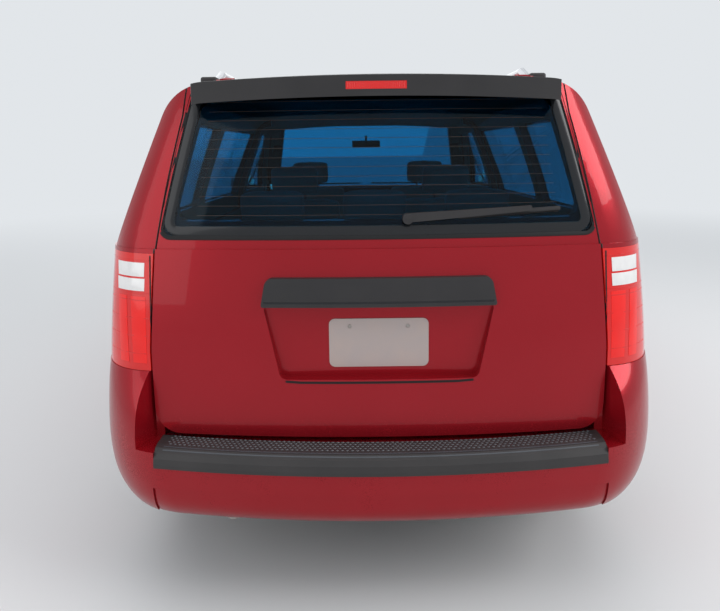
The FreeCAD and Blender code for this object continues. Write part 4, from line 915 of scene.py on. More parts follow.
@dataclass
class LampRibs(Piece):
    """Optic ribs moulded on the centre stop lamp."""

    count: int = 26
    radius: float = 0.0026
    end_gap: float = 0.004
    foot_gap: float = 0.003
    inset: float = 0.0024

    def form(self, bm: bmesh.types.BMesh) -> None:
        """Sets the ribs side by side.

        Args:
            bm: The mesh that takes them.
        """
        low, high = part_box("stop_lamp")
        span = high[0] - low[0] - 2 * self.end_gap
        rib = ((0.0, self.radius), (high[2] - low[2] - 2 * self.foot_gap, self.radius))
        for i in range(self.count):
            x = low[0] + self.end_gap + span * (i + 0.5) / self.count
            lathe(bm, rib, (x, high[1] - self.inset, low[2] + self.foot_gap), (0, 0, 1), 8)


@dataclass
class RailFeet(Piece):
    """Moulded boots under one roof rail. A row of spots has a place along it and two half sizes."""

    side: Side = Side.LEFT
    rail_x: float = 0.596
    spots: tuple[Corner, ...] = ((-0.150, 0.055, 0.030), (0.910, 0.045, 0.022), (1.925, 0.060, 0.030))
    sink: float = 0.004
    rise: float = 0.024
    top_z: float = 1.728
    edge: float = 0.009

    def form(self, bm: bmesh.types.BMesh) -> None:
        """Sets a rounded boot on the roof at each place.

        Args:
            bm: The mesh that takes them.
        """
        surface = Surface(("roof_panel", "side_frames"), Way.TOP)
        x = self.rail_x * self.side.value
        for y, half_y, half_x in self.spots:
            ground = [surface.spot(x + dx, y + dy) for dx in (-half_x, half_x) for dy in (-half_y, half_y)]
            heights = [place.z for place in ground if place]
            low = (x - half_x, y - half_y, min(heights) - self.sink)
            high = (x + half_x, y + half_y, min(self.top_z, max(heights) + self.rise))
            block(bm, low, high, self.edge, 3)


@dataclass
class FuelDoor(Piece):
    """The fuel door's seam and its finger notch on the left rear quarter."""

    centre: Point2 = (1.965, 0.955)
    half: float = 0.078
    corner: float = 0.03
    seam_step: float = 0.02
    seam_width: float = 0.0035
    seam_lift: float = 0.0005
    notch_inset: Point2 = (0.012, 0.005)
    notch_half: float = 0.02
    notch_lift: float = 0.0006

    def form(self, bm: bmesh.types.BMesh) -> None:
        """Lays the seam as a ring, and the notch inside it.

        Args:
            bm: The mesh that takes them.
        """
        y, z = self.centre
        ring = rounded([(y + i * self.half, z + j * self.half, self.corner)
                        for i, j in ((1, -1), (1, 1), (-1, 1), (-1, -1))])
        surface = Surface(("side_frames",), Way.LEFT)
        surface.band(bm, dense(ring, self.seam_step, True), self.seam_width, self.seam_lift)
        near, far = (y + self.half - inset for inset in self.notch_inset)
        notch = oblong(near, z - self.notch_half, far, z + self.notch_half)
        surface.plate(bm, notch, self.notch_lift, (2, 6))


@dataclass
class Tyre(Piece):
    """A tyre with tread grooves, shoulder blocks and sidewall rings.

    A row of the section has a distance from the tyre's middle and a radius. The shares place the edges in one
    pitch of the tread, and the shoulder is cut away at the edges from first_cut on.
    """

    centre: Point3 = (0.0, 0.0, 0.0)
    outward: int = 1
    pitches: int = 70
    shares: tuple[float, ...] = (0.0, 0.78, 0.81, 0.97)
    first_cut: int = 2
    cut: float = 0.006
    cut_x: float = 0.0615
    cut_radius: float = 0.329
    half_section: Run = (
        (0.0917, 0.2036), (0.0917, 0.2177), (0.1010, 0.2177), (0.1065, 0.2320), (0.1085, 0.2360),
        (0.1080, 0.2400), (0.1115, 0.2620), (0.1122, 0.2700), (0.1118, 0.2900), (0.1090, 0.3080),
        (0.1095, 0.3110), (0.1082, 0.3140), (0.1010, 0.3300), (0.0955, 0.3400), (0.0850, 0.3462),
        (0.0640, 0.3488), (0.0620, 0.3491), (0.0600, 0.3415), (0.0520, 0.3415), (0.0500, 0.3493),
        (0.0250, 0.3493), (0.0230, 0.3415), (0.0150, 0.3415), (0.0130, 0.3494))

    def form(self, bm: bmesh.types.BMesh) -> None:
        """Spins the section, then cuts the shoulder between its blocks.

        Args:
            bm: The mesh that takes it.
        """
        section = list(self.half_section) + [(-x, radius) for x, radius in reversed(self.half_section)]
        loop = [bm.verts.new((x, 0.0, -radius)) for x, radius in section]
        edges = [bm.edges.new((loop[i - 1], loop[i])) for i in range(len(loop))]
        steps = len(self.shares) * self.pitches
        bmesh.ops.spin(bm, geom=loop + edges, cent=(0, 0, 0), axis=(1, 0, 0), dvec=(0, 0, 0),
                       angle=2 * math.pi, steps=steps, use_merge=True, use_duplicate=False)
        for vertex in bm.verts:
            x, y, z = vertex.co
            radius = math.hypot(y, z)
            number = round(math.atan2(y, -z) / (2 * math.pi / steps)) % steps
            pitch, part = divmod(number, len(self.shares))
            angle = 2 * math.pi * (pitch + self.shares[part]) / self.pitches
            if part >= self.first_cut and abs(x) > self.cut_x and radius > self.cut_radius:
                radius -= self.cut
            vertex.co = (self.outward * x, radius * math.sin(angle), -radius * math.cos(angle))
        bmesh.ops.translate(bm, vec=self.centre, verts=bm.verts)


@dataclass
class WheelTrim(Piece):
    """Five wheel nuts round a domed centre cap."""

    centre: Point3 = (0.0, 0.0, 0.0)
    outward: int = 1
    cap: Run = ((0.0715, 0.034), (0.074, 0.034), (0.078, 0.031), (0.0805, 0.024), (0.0815, 0.010))
    nuts: int = 5
    nut: Run = ((0.0715, 0.0105), (0.0780, 0.0105), (0.0805, 0.0080), (0.0810, 0.0040))
    nut_circle: float = 0.060

    def form(self, bm: bmesh.types.BMesh) -> None:
        """Turns the cap and sets the nuts round it.

        Args:
            bm: The mesh that takes them.
        """
        x, y, z = self.centre
        axis = (self.outward, 0, 0)
        lathe(bm, self.cap, self.centre, axis, 32)
        for k in range(self.nuts):
            angle = 2 * math.pi * k / self.nuts
            spot = (x, y + self.nut_circle * math.sin(angle), z + self.nut_circle * math.cos(angle))
            lathe(bm, self.nut, spot, axis, 6)


@dataclass
class SeatPads(Piece):
    """Padded parts of seats: crowned closed forms with sewn channels.

    A pad's row has two corners and a lean.
    """

    pads: tuple[Pad, ...] = ()
    channels: int = 3
    crown: float = 0.012
    cuts: int = 11
    edge_draw: float = 0.35
    seam_depth: float = 0.5
    fill: float = 0.8

    def form(self, bm: bmesh.types.BMesh) -> None:
        """Forms every pad in a mesh of its own and joins them.

        Args:
            bm: The mesh that takes them.
        """
        for low, high, lean in self.pads:
            one = bmesh.new()
            self._pad(one, Vector(low), Vector(high), lean)
            part = bpy.data.meshes.new("pad")
            one.to_mesh(part)
            one.free()
            bm.from_mesh(part)
            bpy.data.meshes.remove(part)

    def _pad(self, bm: bmesh.types.BMesh, low: Vector, high: Vector, lean: float) -> None:
        """Divides a box and swells it between its edges and its seams.

        Args:
            bm: The mesh that takes it.
            low: Its lowest corner before it leans.
            high: Its highest corner before it leans.
            lean: How far its top is behind its foot.
        """
        bmesh.ops.create_cube(bm, size=1.0)
        bmesh.ops.subdivide_edges(bm, edges=list(bm.edges), cuts=self.cuts, use_grid_fill=True)
        size, middle = high - low, (low + high) / 2
        for vertex in bm.verts:
            flat = vertex.co.copy()
            place = Vector()
            for axis in range(3):
                a, b = (i for i in range(3) if i != axis)
                room = size[axis] / 2 - self.crown
                share = 2 * flat[axis]
                if abs(abs(share) - 1) < 1e-3:
                    swell = (1 - (2 * flat[a]) ** 4) * (1 - (2 * flat[b]) ** 4)
                    seam = abs(math.sin(math.pi * self.channels * (flat.x + 0.5))) ** 0.5
                    room += self.crown * swell * (1 - self.seam_depth + self.seam_depth * seam)
                else:
                    room -= self.edge_draw * self.crown * (1 - abs(share))
                place[axis] = middle[axis] + share * room
            place.y += lean * (flat.z + 0.5)
            vertex.co = place

    def modify(self, piece: SceneObject) -> None:
        """Rounds the forms off."""
        level = piece.modifiers.new("rounding", "SUBSURF")
        level.levels = level.render_levels = 1

    def build(self) -> SceneObject:
        """Makes the object.

        Returns:
            The finished object.
        """
        piece = super().build()
        return piece


@dataclass
class SeatFrames(Piece):
    """Seat bases with the head restraints' rods. A rod's row has its foot, its rise and its lean."""

    boxes: tuple[tuple[Point3, Point3], ...] = ()
    rods: tuple[tuple[float, float, float, float, float], ...] = ()
    edge: float = 0.012
    rod_radius: float = 0.006

    def form(self, bm: bmesh.types.BMesh) -> None:
        """Adds the boxes and the leaning rods.

        Args:
            bm: The mesh that takes them.
        """
        for low, high in self.boxes:
            block(bm, low, high, self.edge)
        for x, y, z, rise, lean in self.rods:
            rod = ((0.0, self.rod_radius), (math.hypot(rise, lean), self.rod_radius))
            lathe(bm, rod, (x, y, z), (0, lean, rise), 10)


@dataclass
class CabinMirror(Piece):
    """The inside mirror on its stem, placed from where the stem meets the windshield."""

    foot: Point2 = (0.0, -0.80)
    stem: Run = ((0.0, 0.010), (0.05, 0.007))
    stem_axis: Point3 = (0.0, 0.35, -1.0)
    stem_drop: float = 0.010
    half_width: float = 0.115
    back: Point2 = (0.010, 0.034)
    drop: Point2 = (0.105, 0.048)
    edge: float = 0.010

    def form(self, bm: bmesh.types.BMesh) -> None:
        """Hangs the mirror from the windshield.

        Args:
            bm: The mesh that takes it.
        """
        seat = Surface(("windshield", "roof_panel"), Way.TOP).spot(*self.foot)
        lathe(bm, self.stem, (seat.x, seat.y, seat.z - self.stem_drop), self.stem_axis, 12)
        low = (-self.half_width, seat.y + self.back[0], seat.z - self.drop[0])
        high = (self.half_width, seat.y + self.back[1], seat.z - self.drop[1])
        block(bm, low, high, self.edge, 3)


@dataclass
class ColumnStalks(Piece):
    """Two stalks on the steering column."""

    start: Point3 = (0.40, -0.905, 0.905)
    stalk: Run = ((0.0, 0.006), (0.15, 0.008), (0.17, 0.004))
    lean: Point2 = (0.20, 0.12)

    def form(self, bm: bmesh.types.BMesh) -> None:
        """Turns both stalks."""
        for sign in (-1, 1):
            lathe(bm, self.stalk, self.start, (sign, *self.lean), 10)


# Sub-assemblies


@dataclass
class Tail:
    """The liftgate's glass, plate and trims, a black strip painted as shade at the foot of the plate's
    recess, the tail lamps and the step pad.
    """

    glass: tuple[Corner, ...] = ((0.678, 1.172, 0.03), (0.578, 1.640, 0.04))
    frit: tuple[Corner, ...] = ((0.652, 1.192, 0.03), (0.560, 1.622, 0.04))
    heater_rows: int = 13
    heater_foot: float = 1.24
    heater_pitch: float = 0.029
    heater_half: float = 0.680
    heater_taper: float = 0.1
    garnish_foot: Run = ((-0.345, 0.984), (0.345, 0.984))
    # Where the painted shade runs along the foot of the plate's recess.
    recess_foot: Run = ((-0.285, 0.739), (-0.24, 0.736), (0.24, 0.736), (0.285, 0.739))
    wiper_blade: Run = ((-0.245, 1.226), (-0.558, 1.244))
    reverse_x: tuple[float, ...] = (0.724, 0.824, 0.826, 0.722)
    reverse_z: Run = ((1.053, 1.096), (1.009, 1.047))
    lamp_seams: tuple[float, ...] = (0.815, 0.870, 0.925, 0.980, 1.002, 1.103)
    seam_x: Point2 = (0.708, 0.86)
    lamp_edge: Run = ((0.7035, 0.770), (0.7035, 1.118))
    optics: tuple[Run, ...] = (((0.720, 0.785), (0.766, 0.785), (0.772, 0.992), (0.720, 0.992)),
                               ((0.782, 0.785), (0.816, 0.785), (0.822, 0.992), (0.788, 0.992)))

    def pieces(self) -> list[Piece]:
        """Gathers every piece of the tail.

        Returns:
            The pieces, in the order that they are built.
        """
        rows = self._gate() + [
            PadTread("step_pad_tread", "body", "dark_trim", "pad_plastic"),
            LampRibs("stop_lamp_ribs", "liftgate", "lamp_red", "red_lens"),
        ]
        for side in Side:
            rows += self._lamp(side)
        return rows

    def _heater_line(self, z: float) -> Run:
        """One heater line, shorter where the glass narrows."""
        half = self.heater_half - self.heater_taper * z
        return (-half, z), (half, z)

    def _gate(self) -> list[Piece]:
        """Gathers the pieces on the liftgate.

        Returns:
            The pieces.
        """
        levels = [self.heater_foot + self.heater_pitch * k for k in range(self.heater_rows)]
        return [
            Bands("gate_glass_seal", "liftgate", "dark_trim", "black_rubber",
                  nodes=("liftgate_window", "liftgate"), paths=rings(rounded(both_halves(self.glass))),
                  width=0.014, lift=0.002),
            Bands("gate_glass_frit", "liftgate", "dark_trim", "gloss_black", nodes=("liftgate_window",),
                  paths=rings(rounded(both_halves(self.frit))), width=0.034, lift=0.0006, step=0.02),
            Bands("rear_heater_lines", "liftgate", "dark_trim", "heater_line", nodes=("liftgate_window",),
                  paths=lines(*map(self._heater_line, levels)), width=0.0012, lift=0.0003, step=0.06),
            NumberPlate("number_plate", "liftgate", "silver_trim", "plate_face"),
            PlateScrews("plate_screws", "liftgate", "steel", "bare_steel"),
            Bands("garnish_edge", "liftgate", "dark_trim", "gloss_black", nodes=("liftgate_garnish",),
                  paths=lines(self.garnish_foot), width=0.005, lift=0.0012),
            # Painted shade: a thin black strip along the foot of the plate's recess, where its shadow falls,
            # not a real trim.
            Bands("recess_shadow_strip", "liftgate", "dark_trim", "black_rubber", nodes=("liftgate",),
                  paths=lines(self.recess_foot), width=0.008, lift=0.0012),
            Bands("wiper_blade_rubber", "liftgate", "dark_trim", "black_rubber",
                  nodes=("liftgate_window", "rear_wiper"), paths=lines(self.wiper_blade), width=0.007,
                  lift=0.004),
        ]

    def _lamp(self, side: Side) -> list[Piece]:
        """Gathers the pieces on one tail lamp.

        Args:
            side: Which lamp.

        Returns:
            The pieces.
        """
        word, on_lamp = side.word, ("tail_lamps",)
        blocks = tuple(mirrored(zip(self.reverse_x, (low, low, high, high)), side)
                       for low, high in self.reverse_z)
        seams = lines(*(mirrored(((x, z) for x in self.seam_x), side) for z in self.lamp_seams))
        return [
            Tiles(f"reverse_lamp_{word}", "body", "lamp_clear", "white_lens", nodes=on_lamp, plates=blocks,
                  lift=0.0012, crown=0.0015),
            Bands(f"tail_lamp_seams_{word}", "body", "lamp_red", "red_lens", nodes=on_lamp, paths=seams,
                  width=0.004, lift=0.0014, step=0.015),
            Bands(f"tail_lamp_edge_{word}", "body", "dark_trim", "black_rubber", nodes=on_lamp,
                  paths=lines(mirrored(self.lamp_edge, side)), width=0.005, lift=0.0012),
            Tiles(f"tail_lamp_optic_{word}", "body", "lamp_red", "bright_red_lens", nodes=on_lamp,
                  plates=tuple(mirrored(optic, side) for optic in self.optics), lift=0.0009, crown=0.001),
        ]


@dataclass
class SideTrim:
    """Window rubbers, belt strips, covers, the door track and the mirror's glass on one side."""

    side: Side
    front_window: tuple[Corner, ...] = ((-0.985, 1.128, 0.015), (-0.067, 1.140, 0.03), (-0.067, 1.552, 0.025),
                                        (-0.440, 1.552, 0.06))
    sliding_window: tuple[Corner, ...] = ((0.057, 1.142, 0.03), (1.023, 1.160, 0.03), (1.023, 1.552, 0.03),
                                          (0.057, 1.552, 0.03))
    quarter_window: tuple[Corner, ...] = ((1.127, 1.162, 0.03), (2.130, 1.180, 0.045), (1.985, 1.550, 0.09),
                                          (1.127, 1.552, 0.03))
    front_belt: Run = ((-0.965, 1.114), (-0.020, 1.126))
    sliding_belt: Run = ((0.010, 1.127), (1.060, 1.145))
    quarter_belt: Run = ((1.090, 1.146), (2.160, 1.164))
    front_pillar: Run = ((-0.058, 1.150), (-0.014, 1.150), (-0.022, 1.545), (-0.058, 1.545))
    rear_pillar: Run = oblong(0.006, 1.150, 0.048, 1.545)
    track: Run = ((1.090, 1.098), (2.120, 1.108))
    front_cup: Run = ((-0.196, 0.902), (-0.060, 0.904), (-0.060, 0.921), (-0.196, 0.920))
    sliding_cup: Run = ((0.054, 0.902), (0.190, 0.904), (0.190, 0.921), (0.054, 0.920))
    sill: Run = ((-1.02, 0.287), (1.02, 0.287))
    marker: Run = oblong(-2.170, 0.560, -2.110, 0.590)
    mirror_glass: Run = ((1.010, 1.122), (1.140, 1.118), (1.142, 1.202), (1.010, 1.208))
    mirror_rim: tuple[Corner, ...] = ((1.004, 1.116, 0.02), (1.146, 1.112, 0.03), (1.148, 1.208, 0.03),
                                      (1.004, 1.214, 0.02))

    def pieces(self) -> list[Piece]:
        """Gathers every piece of the side.

        Returns:
            The pieces, in the order that they are built.
        """
        rows = self._windows() + self._panels() + self._mirror()
        rows.append(RailFeet(f"rail_feet_{self.side.word}", "body", "dark_trim", "dark_plastic",
                             side=self.side))
        if self.side is Side.LEFT:
            rows.append(FuelDoor("fuel_door_seam", "body", "dark_trim", "black_rubber"))
        return rows

    def _windows(self) -> list[Piece]:
        """Gathers the window rubbers and the belt strips.

        Returns:
            The pieces.
        """
        word, way = self.side.word, Way.of_side(self.side)
        door, pane = f"front_door_{word}", f"front_door_window_{word}"
        rows: list[Piece] = []
        for name, body, nodes, window in (
                ("front", door, (door, pane), self.front_window),
                ("sliding", "body", ("sliding_doors", "side_windows"), self.sliding_window),
                ("quarter", "body", ("side_frames", "side_windows"), self.quarter_window)):
            rows.append(Bands(f"{name}_window_rubber_{word}", body, "dark_trim", "black_rubber", nodes=nodes,
                              way=way, paths=rings(rounded(window)), width=0.016, lift=0.0022))
        for name, body, node, belt in (
                ("front", door, door, self.front_belt),
                ("sliding", "body", "sliding_doors", self.sliding_belt),
                ("quarter", "body", "side_frames", self.quarter_belt)):
            rows.append(Bands(f"{name}_belt_strip_{word}", body, "dark_trim", "gloss_black", nodes=(node,),
                              way=way, paths=lines(belt), width=0.016, lift=0.0035))
        return rows

    def _panels(self) -> list[Piece]:
        """Gathers the pillar covers, the door track, the handles' cups, the sill's seam and the marker.

        Returns:
            The pieces.
        """
        word, way = self.side.word, Way.of_side(self.side)
        door, slider = f"front_door_{word}", ("sliding_doors",)
        return [
            Tiles(f"pillar_cover_front_{word}", door, "dark_trim", "gloss_black", nodes=(door,), way=way,
                  plates=(self.front_pillar,), cells=(3, 14)),
            Tiles(f"pillar_cover_rear_{word}", "body", "dark_trim", "gloss_black", nodes=slider, way=way,
                  plates=(self.rear_pillar,), cells=(3, 14)),
            Bands(f"door_track_{word}", "body", "dark_trim", "dark_plastic", nodes=("side_frames",), way=way,
                  paths=lines(self.track), width=0.020, lift=0.0012),
            Tiles(f"front_handle_cup_{word}", door, "dark_trim", "black_rubber", nodes=(door,), way=way,
                  plates=(self.front_cup,), lift=0.0008),
            Tiles(f"sliding_handle_cup_{word}", "body", "dark_trim", "black_rubber", nodes=slider, way=way,
                  plates=(self.sliding_cup,), lift=0.0008),
            Bands(f"sill_seam_{word}", "body", "dark_trim", "black_rubber", nodes=("side_frames",), way=way,
                  paths=lines(self.sill), width=0.005, lift=0.0008),
            Tiles(f"side_marker_{word}", "body", "lamp_clear", "amber_lens", nodes=("front_bumper",), way=way,
                  plates=(self.marker,), lift=0.0015, crown=0.002),
        ]

    def _mirror(self) -> list[Piece]:
        """Gathers the door mirror's glass and its rim.

        Returns:
            The pieces.
        """
        word = self.side.word
        door, head = f"front_door_{word}", (f"mirror_{word}",)
        rim = rounded([(self.side.value * x, z, radius) for x, z, radius in self.mirror_rim])
        return [
            Tiles(f"mirror_glass_{word}", door, "lamp_clear", "mirror_glass", nodes=head,
                  plates=(mirrored(self.mirror_glass, self.side),), lift=0.0008, crown=0.001),
            Bands(f"mirror_rim_{word}", door, "dark_trim", "dark_plastic", nodes=head, paths=rings(rim),
                  width=0.010, lift=0.0022),
        ]


@dataclass
class Nose:
    """The grille's surround, the lamps' optics, the cowl's slots, the nozzles and the hood's creases."""

    surround: Run = ((0.417, 0.765), (0.417, 0.612), (0.408, 0.590), (0.368, 0.546), (0.350, 0.538))
    slot_y: Point2 = (-1.556, -1.535)
    slot_start: float = -0.56
    slot_pitch: float = 0.04
    slot_count: int = 29
    nozzle_xs: tuple[float, ...] = (-0.32, 0.32)
    nozzle: Run = ((-0.012, -1.64), (0.012, -1.64), (0.009, -1.62), (-0.009, -1.62))
    crease: Run = ((0.38, -2.36), (0.48, -1.64))
    bulbs: tuple[Corner, ...] = ((0.60, 0.745, 0.040), (0.72, 0.765, 0.036))
    bulb_half: float = 0.020
    turn_lamp: Run = ((0.79, 0.735), (0.85, 0.745), (0.85, 0.80), (0.79, 0.80))
    fog_x: float = 0.60
    fog_z: float = 0.40
    fog_radius: float = 0.050
    fog_half: float = 0.032
    fog_levels: Point2 = (0.368, 0.432)

    def pieces(self) -> list[Piece]:
        """Gathers every piece of the nose.

        Returns:
            The pieces, in the order that they are built.
        """
        surround = self.surround + mirrored(reversed(self.surround), Side.RIGHT)
        slots = [self.slot_start + self.slot_pitch * k for k in range(self.slot_count)]
        rows: list[Piece] = [
            Bands("grille_surround", "body", "silver_trim", "silver_plastic", nodes=("front_bumper",),
                  way=Way.FRONT, paths=lines(surround), width=0.010, lift=0.003),
            Bands("cowl_slots", "body", "dark_trim", "black_rubber", nodes=("firewall_cowl",), way=Way.TOP,
                  paths=lines(*(tuple((x, y) for y in self.slot_y) for x in slots)), width=0.014,
                  lift=0.0008, step=0.01),
            Tiles("washer_nozzles", "hood", "dark_trim", "dark_plastic", nodes=("hood",), way=Way.TOP,
                  plates=tuple(tuple((x + dx, y) for dx, y in self.nozzle) for x in self.nozzle_xs),
                  lift=0.002, crown=0.003),
            Bands("hood_creases", "hood", "paint", "crimson_paint", nodes=("hood",), way=Way.TOP,
                  paths=lines(*(mirrored(self.crease, side) for side in (Side.RIGHT, Side.LEFT))),
                  width=0.034, lift=0.0022),
        ]
        for side in Side:
            rows += self._lamps(side)
        return rows

    def _lamps(self, side: Side) -> list[Piece]:
        """Gathers the optics of one headlamp and one fog lamp.

        Args:
            side: Which lamps.

        Returns:
            The pieces.
        """
        s, word, bulb = side.value, side.word, self.bulb_half
        fog_x, (foot, top) = s * self.fog_x, self.fog_levels
        fog = oblong(fog_x - self.fog_half, foot, fog_x + self.fog_half, top)
        circles = rings(*(circle(s * x, height, radius) for x, height, radius in self.bulbs))
        bulbs = tuple(oblong(s * x - bulb, height - bulb, s * x + bulb, height + bulb)
                      for x, height, _ in self.bulbs)
        return [
            Bands(f"headlamp_rings_{word}", "body", "silver_trim", "silver_plastic", nodes=("headlamps",),
                  way=Way.FRONT, paths=circles, width=0.008, lift=0.001),
            Tiles(f"headlamp_bulbs_{word}", "body", "lamp_clear", "white_lens", nodes=("headlamps",),
                  way=Way.FRONT, plates=bulbs, lift=0.0006, crown=0.004),
            Tiles(f"turn_lamp_{word}", "body", "lamp_clear", "amber_lens", nodes=("headlamps",),
                  way=Way.FRONT, plates=(mirrored(self.turn_lamp, side),), lift=0.0008, crown=0.001),
            Bands(f"fog_lamp_ring_{word}", "body", "dark_trim", "gloss_black", nodes=("front_bumper",),
                  way=Way.FRONT, paths=rings(circle(fog_x, self.fog_z, self.fog_radius)), width=0.012,
                  lift=0.002),
            Tiles(f"fog_lamp_{word}", "body", "lamp_clear", "clear_lens", nodes=("front_bumper",),
                  way=Way.FRONT, plates=(fog,), crown=0.003),
        ]


@dataclass
class RunningGear:
    """The four tyres with the wheels' nuts and caps."""

    axles: tuple[tuple[str, float], ...] = (("front", -1.6015), ("rear", 1.4765))
    wheel_x: float = 0.824
    hub_z: float = 0.3495
    tyre_sharp_deg: float = 28.0

    def pieces(self) -> list[Piece]:
        """Gathers every piece of the wheels.

        Returns:
            The pieces, in the order that they are built.
        """
        rows: list[Piece] = []
        for end, y in self.axles:
            for side in Side:
                centre = (self.wheel_x * side.value, y, self.hub_z)
                tyre, wheel = f"tyre_{end}_{side.word}", f"wheel_{end}_{side.word}"
                rows.append(Tyre(f"{tyre}_tread", wheel, "tyre", "tyre_rubber", replaces=(tyre,),
                                 centre=centre, outward=side.value, sharp_deg=self.tyre_sharp_deg))
                rows.append(WheelTrim(f"{wheel}_trim", wheel, "silver_trim", "silver_plastic", centre=centre,
                                      outward=side.value))
        return rows


@dataclass
class Cabin:
    """The seats and what shows on the dashboard.

    A captain's seat is given about its own place. A rod's row has its place along, its height, its rise and
    its lean.
    """

    seat_xs: tuple[float, ...] = (-0.4, 0.4)
    seat_ys: tuple[float, ...] = (-0.42, 0.62)
    seat_pads: tuple[Pad, ...] = (
        ((-0.248, -0.268, 0.560), (0.248, 0.205, 0.688), 0.0),
        ((-0.243, 0.155, 0.650), (0.243, 0.270, 1.172), 0.125),
        ((-0.128, 0.322, 1.195), (0.128, 0.408, 1.350), 0.028))
    seat_base: tuple[Point3, Point3] = ((-0.19, -0.18, 0.3955), (0.19, 0.20, 0.565))
    seat_rod: tuple[float, float, float, float] = (0.330, 1.150, 0.08, 0.016)
    rod_half: float = 0.05
    third_pads: tuple[Pad, ...] = (
        ((-0.608, 1.352, 0.560), (0.608, 1.800, 0.678), 0.0),
        ((-0.603, 1.775, 0.650), (0.603, 1.880, 1.130), 0.105))
    third_base: tuple[Point3, Point3] = ((-0.48, 1.44, 0.3955), (0.48, 1.80, 0.565))
    third_heads: tuple[float, ...] = (-0.38, 0.0, 0.38)
    third_head: Pad = ((-0.123, 1.912, 1.150), (0.123, 1.992, 1.288), 0.024)
    third_rod: tuple[float, float, float, float] = (1.915, 1.110, 0.07, 0.014)
    third_channels: int = 7
    vent_xs: tuple[float, ...] = (-0.66, -0.16, 0.0, 0.66)
    vent_half: float = 0.05
    vent_z: Point2 = (0.938, 0.982)
    radio: Run = oblong(-0.17, 0.845, 0.01, 0.915)
    glove_box: Run = oblong(-0.62, 0.80, -0.24, 0.89)

    def pieces(self) -> list[Piece]:
        """Every piece of the cabin."""
        return self._seats() + self._dashboard()

    @staticmethod
    def _moved(corner: Point3, x: float, y: float) -> Point3:
        """A corner carried to a seat's place."""
        return corner[0] + x, corner[1] + y, corner[2]

    def _rods(self, x: float, y: float,
              rod: tuple[float, float, float, float]) -> list[tuple[float, float, float, float, float]]:
        """Places the two rods of a head restraint.

        Args:
            x: The middle of the head restraint.
            y: The place that the rod's row counts from.
            rod: Its place along, its height, its rise and its lean.

        Returns:
            A row for each rod.
        """
        along, height, rise, lean = rod
        return [(x + dx, y + along, height, rise, lean) for dx in (-self.rod_half, self.rod_half)]

    def _seats(self) -> list[Piece]:
        """Gathers the captain's seats and the third row, soft parts and hard parts apart.

        Returns:
            The pieces.
        """
        pads: list[Pad] = []
        bases: list[tuple[Point3, Point3]] = []
        rods: list[tuple[float, float, float, float, float]] = []
        for x in self.seat_xs:
            for y in self.seat_ys:
                pads += [(self._moved(low, x, y), self._moved(high, x, y), lean)
                         for low, high, lean in self.seat_pads]
                bases.append((self._moved(self.seat_base[0], x, y), self._moved(self.seat_base[1], x, y)))
                rods += self._rods(x, y, self.seat_rod)
        third = list(self.third_pads)
        low, high, lean = self.third_head
        for x in self.third_heads:
            third.append((self._moved(low, x, 0.0), self._moved(high, x, 0.0), lean))
            rods += self._rods(x, 0.0, self.third_rod)
        bases.append(self.third_base)
        return [
            SeatPads("captain_seat_pads", "body", "cloth", "seat_cloth", replaces=("captain_seats",),
                     pads=tuple(pads)),
            SeatPads("third_row_pads", "body", "cloth", "seat_cloth", replaces=("third_row_seat",),
                     pads=tuple(third), channels=self.third_channels),
            SeatFrames("seat_frames", "body", "interior", "cabin_plastic", boxes=tuple(bases),
                       rods=tuple(rods)),
        ]

    def _dashboard(self) -> list[Piece]:
        """Gathers the vents, the radio's plate and the glove box lid, with the mirror and the stalks.

        Returns:
            The pieces.
        """
        dash = ("dashboard",)
        foot, top = self.vent_z
        vents = tuple(oblong(x - self.vent_half, foot, x + self.vent_half, top) for x in self.vent_xs)
        return [
            Tiles("dash_vents", "body", "interior", "black_rubber", nodes=dash, plates=vents, lift=0.002),
            Tiles("dash_radio", "body", "interior", "gloss_black", nodes=dash, plates=(self.radio,),
                  lift=0.0025),
            Tiles("glove_box_lid", "body", "interior", "cabin_plastic", nodes=dash, plates=(self.glove_box,),
                  lift=0.004, crown=0.003),
            CabinMirror("cabin_mirror", "body", "interior", "black_rubber"),
            ColumnStalks("column_stalks", "body", "interior", "black_rubber"),
        ]


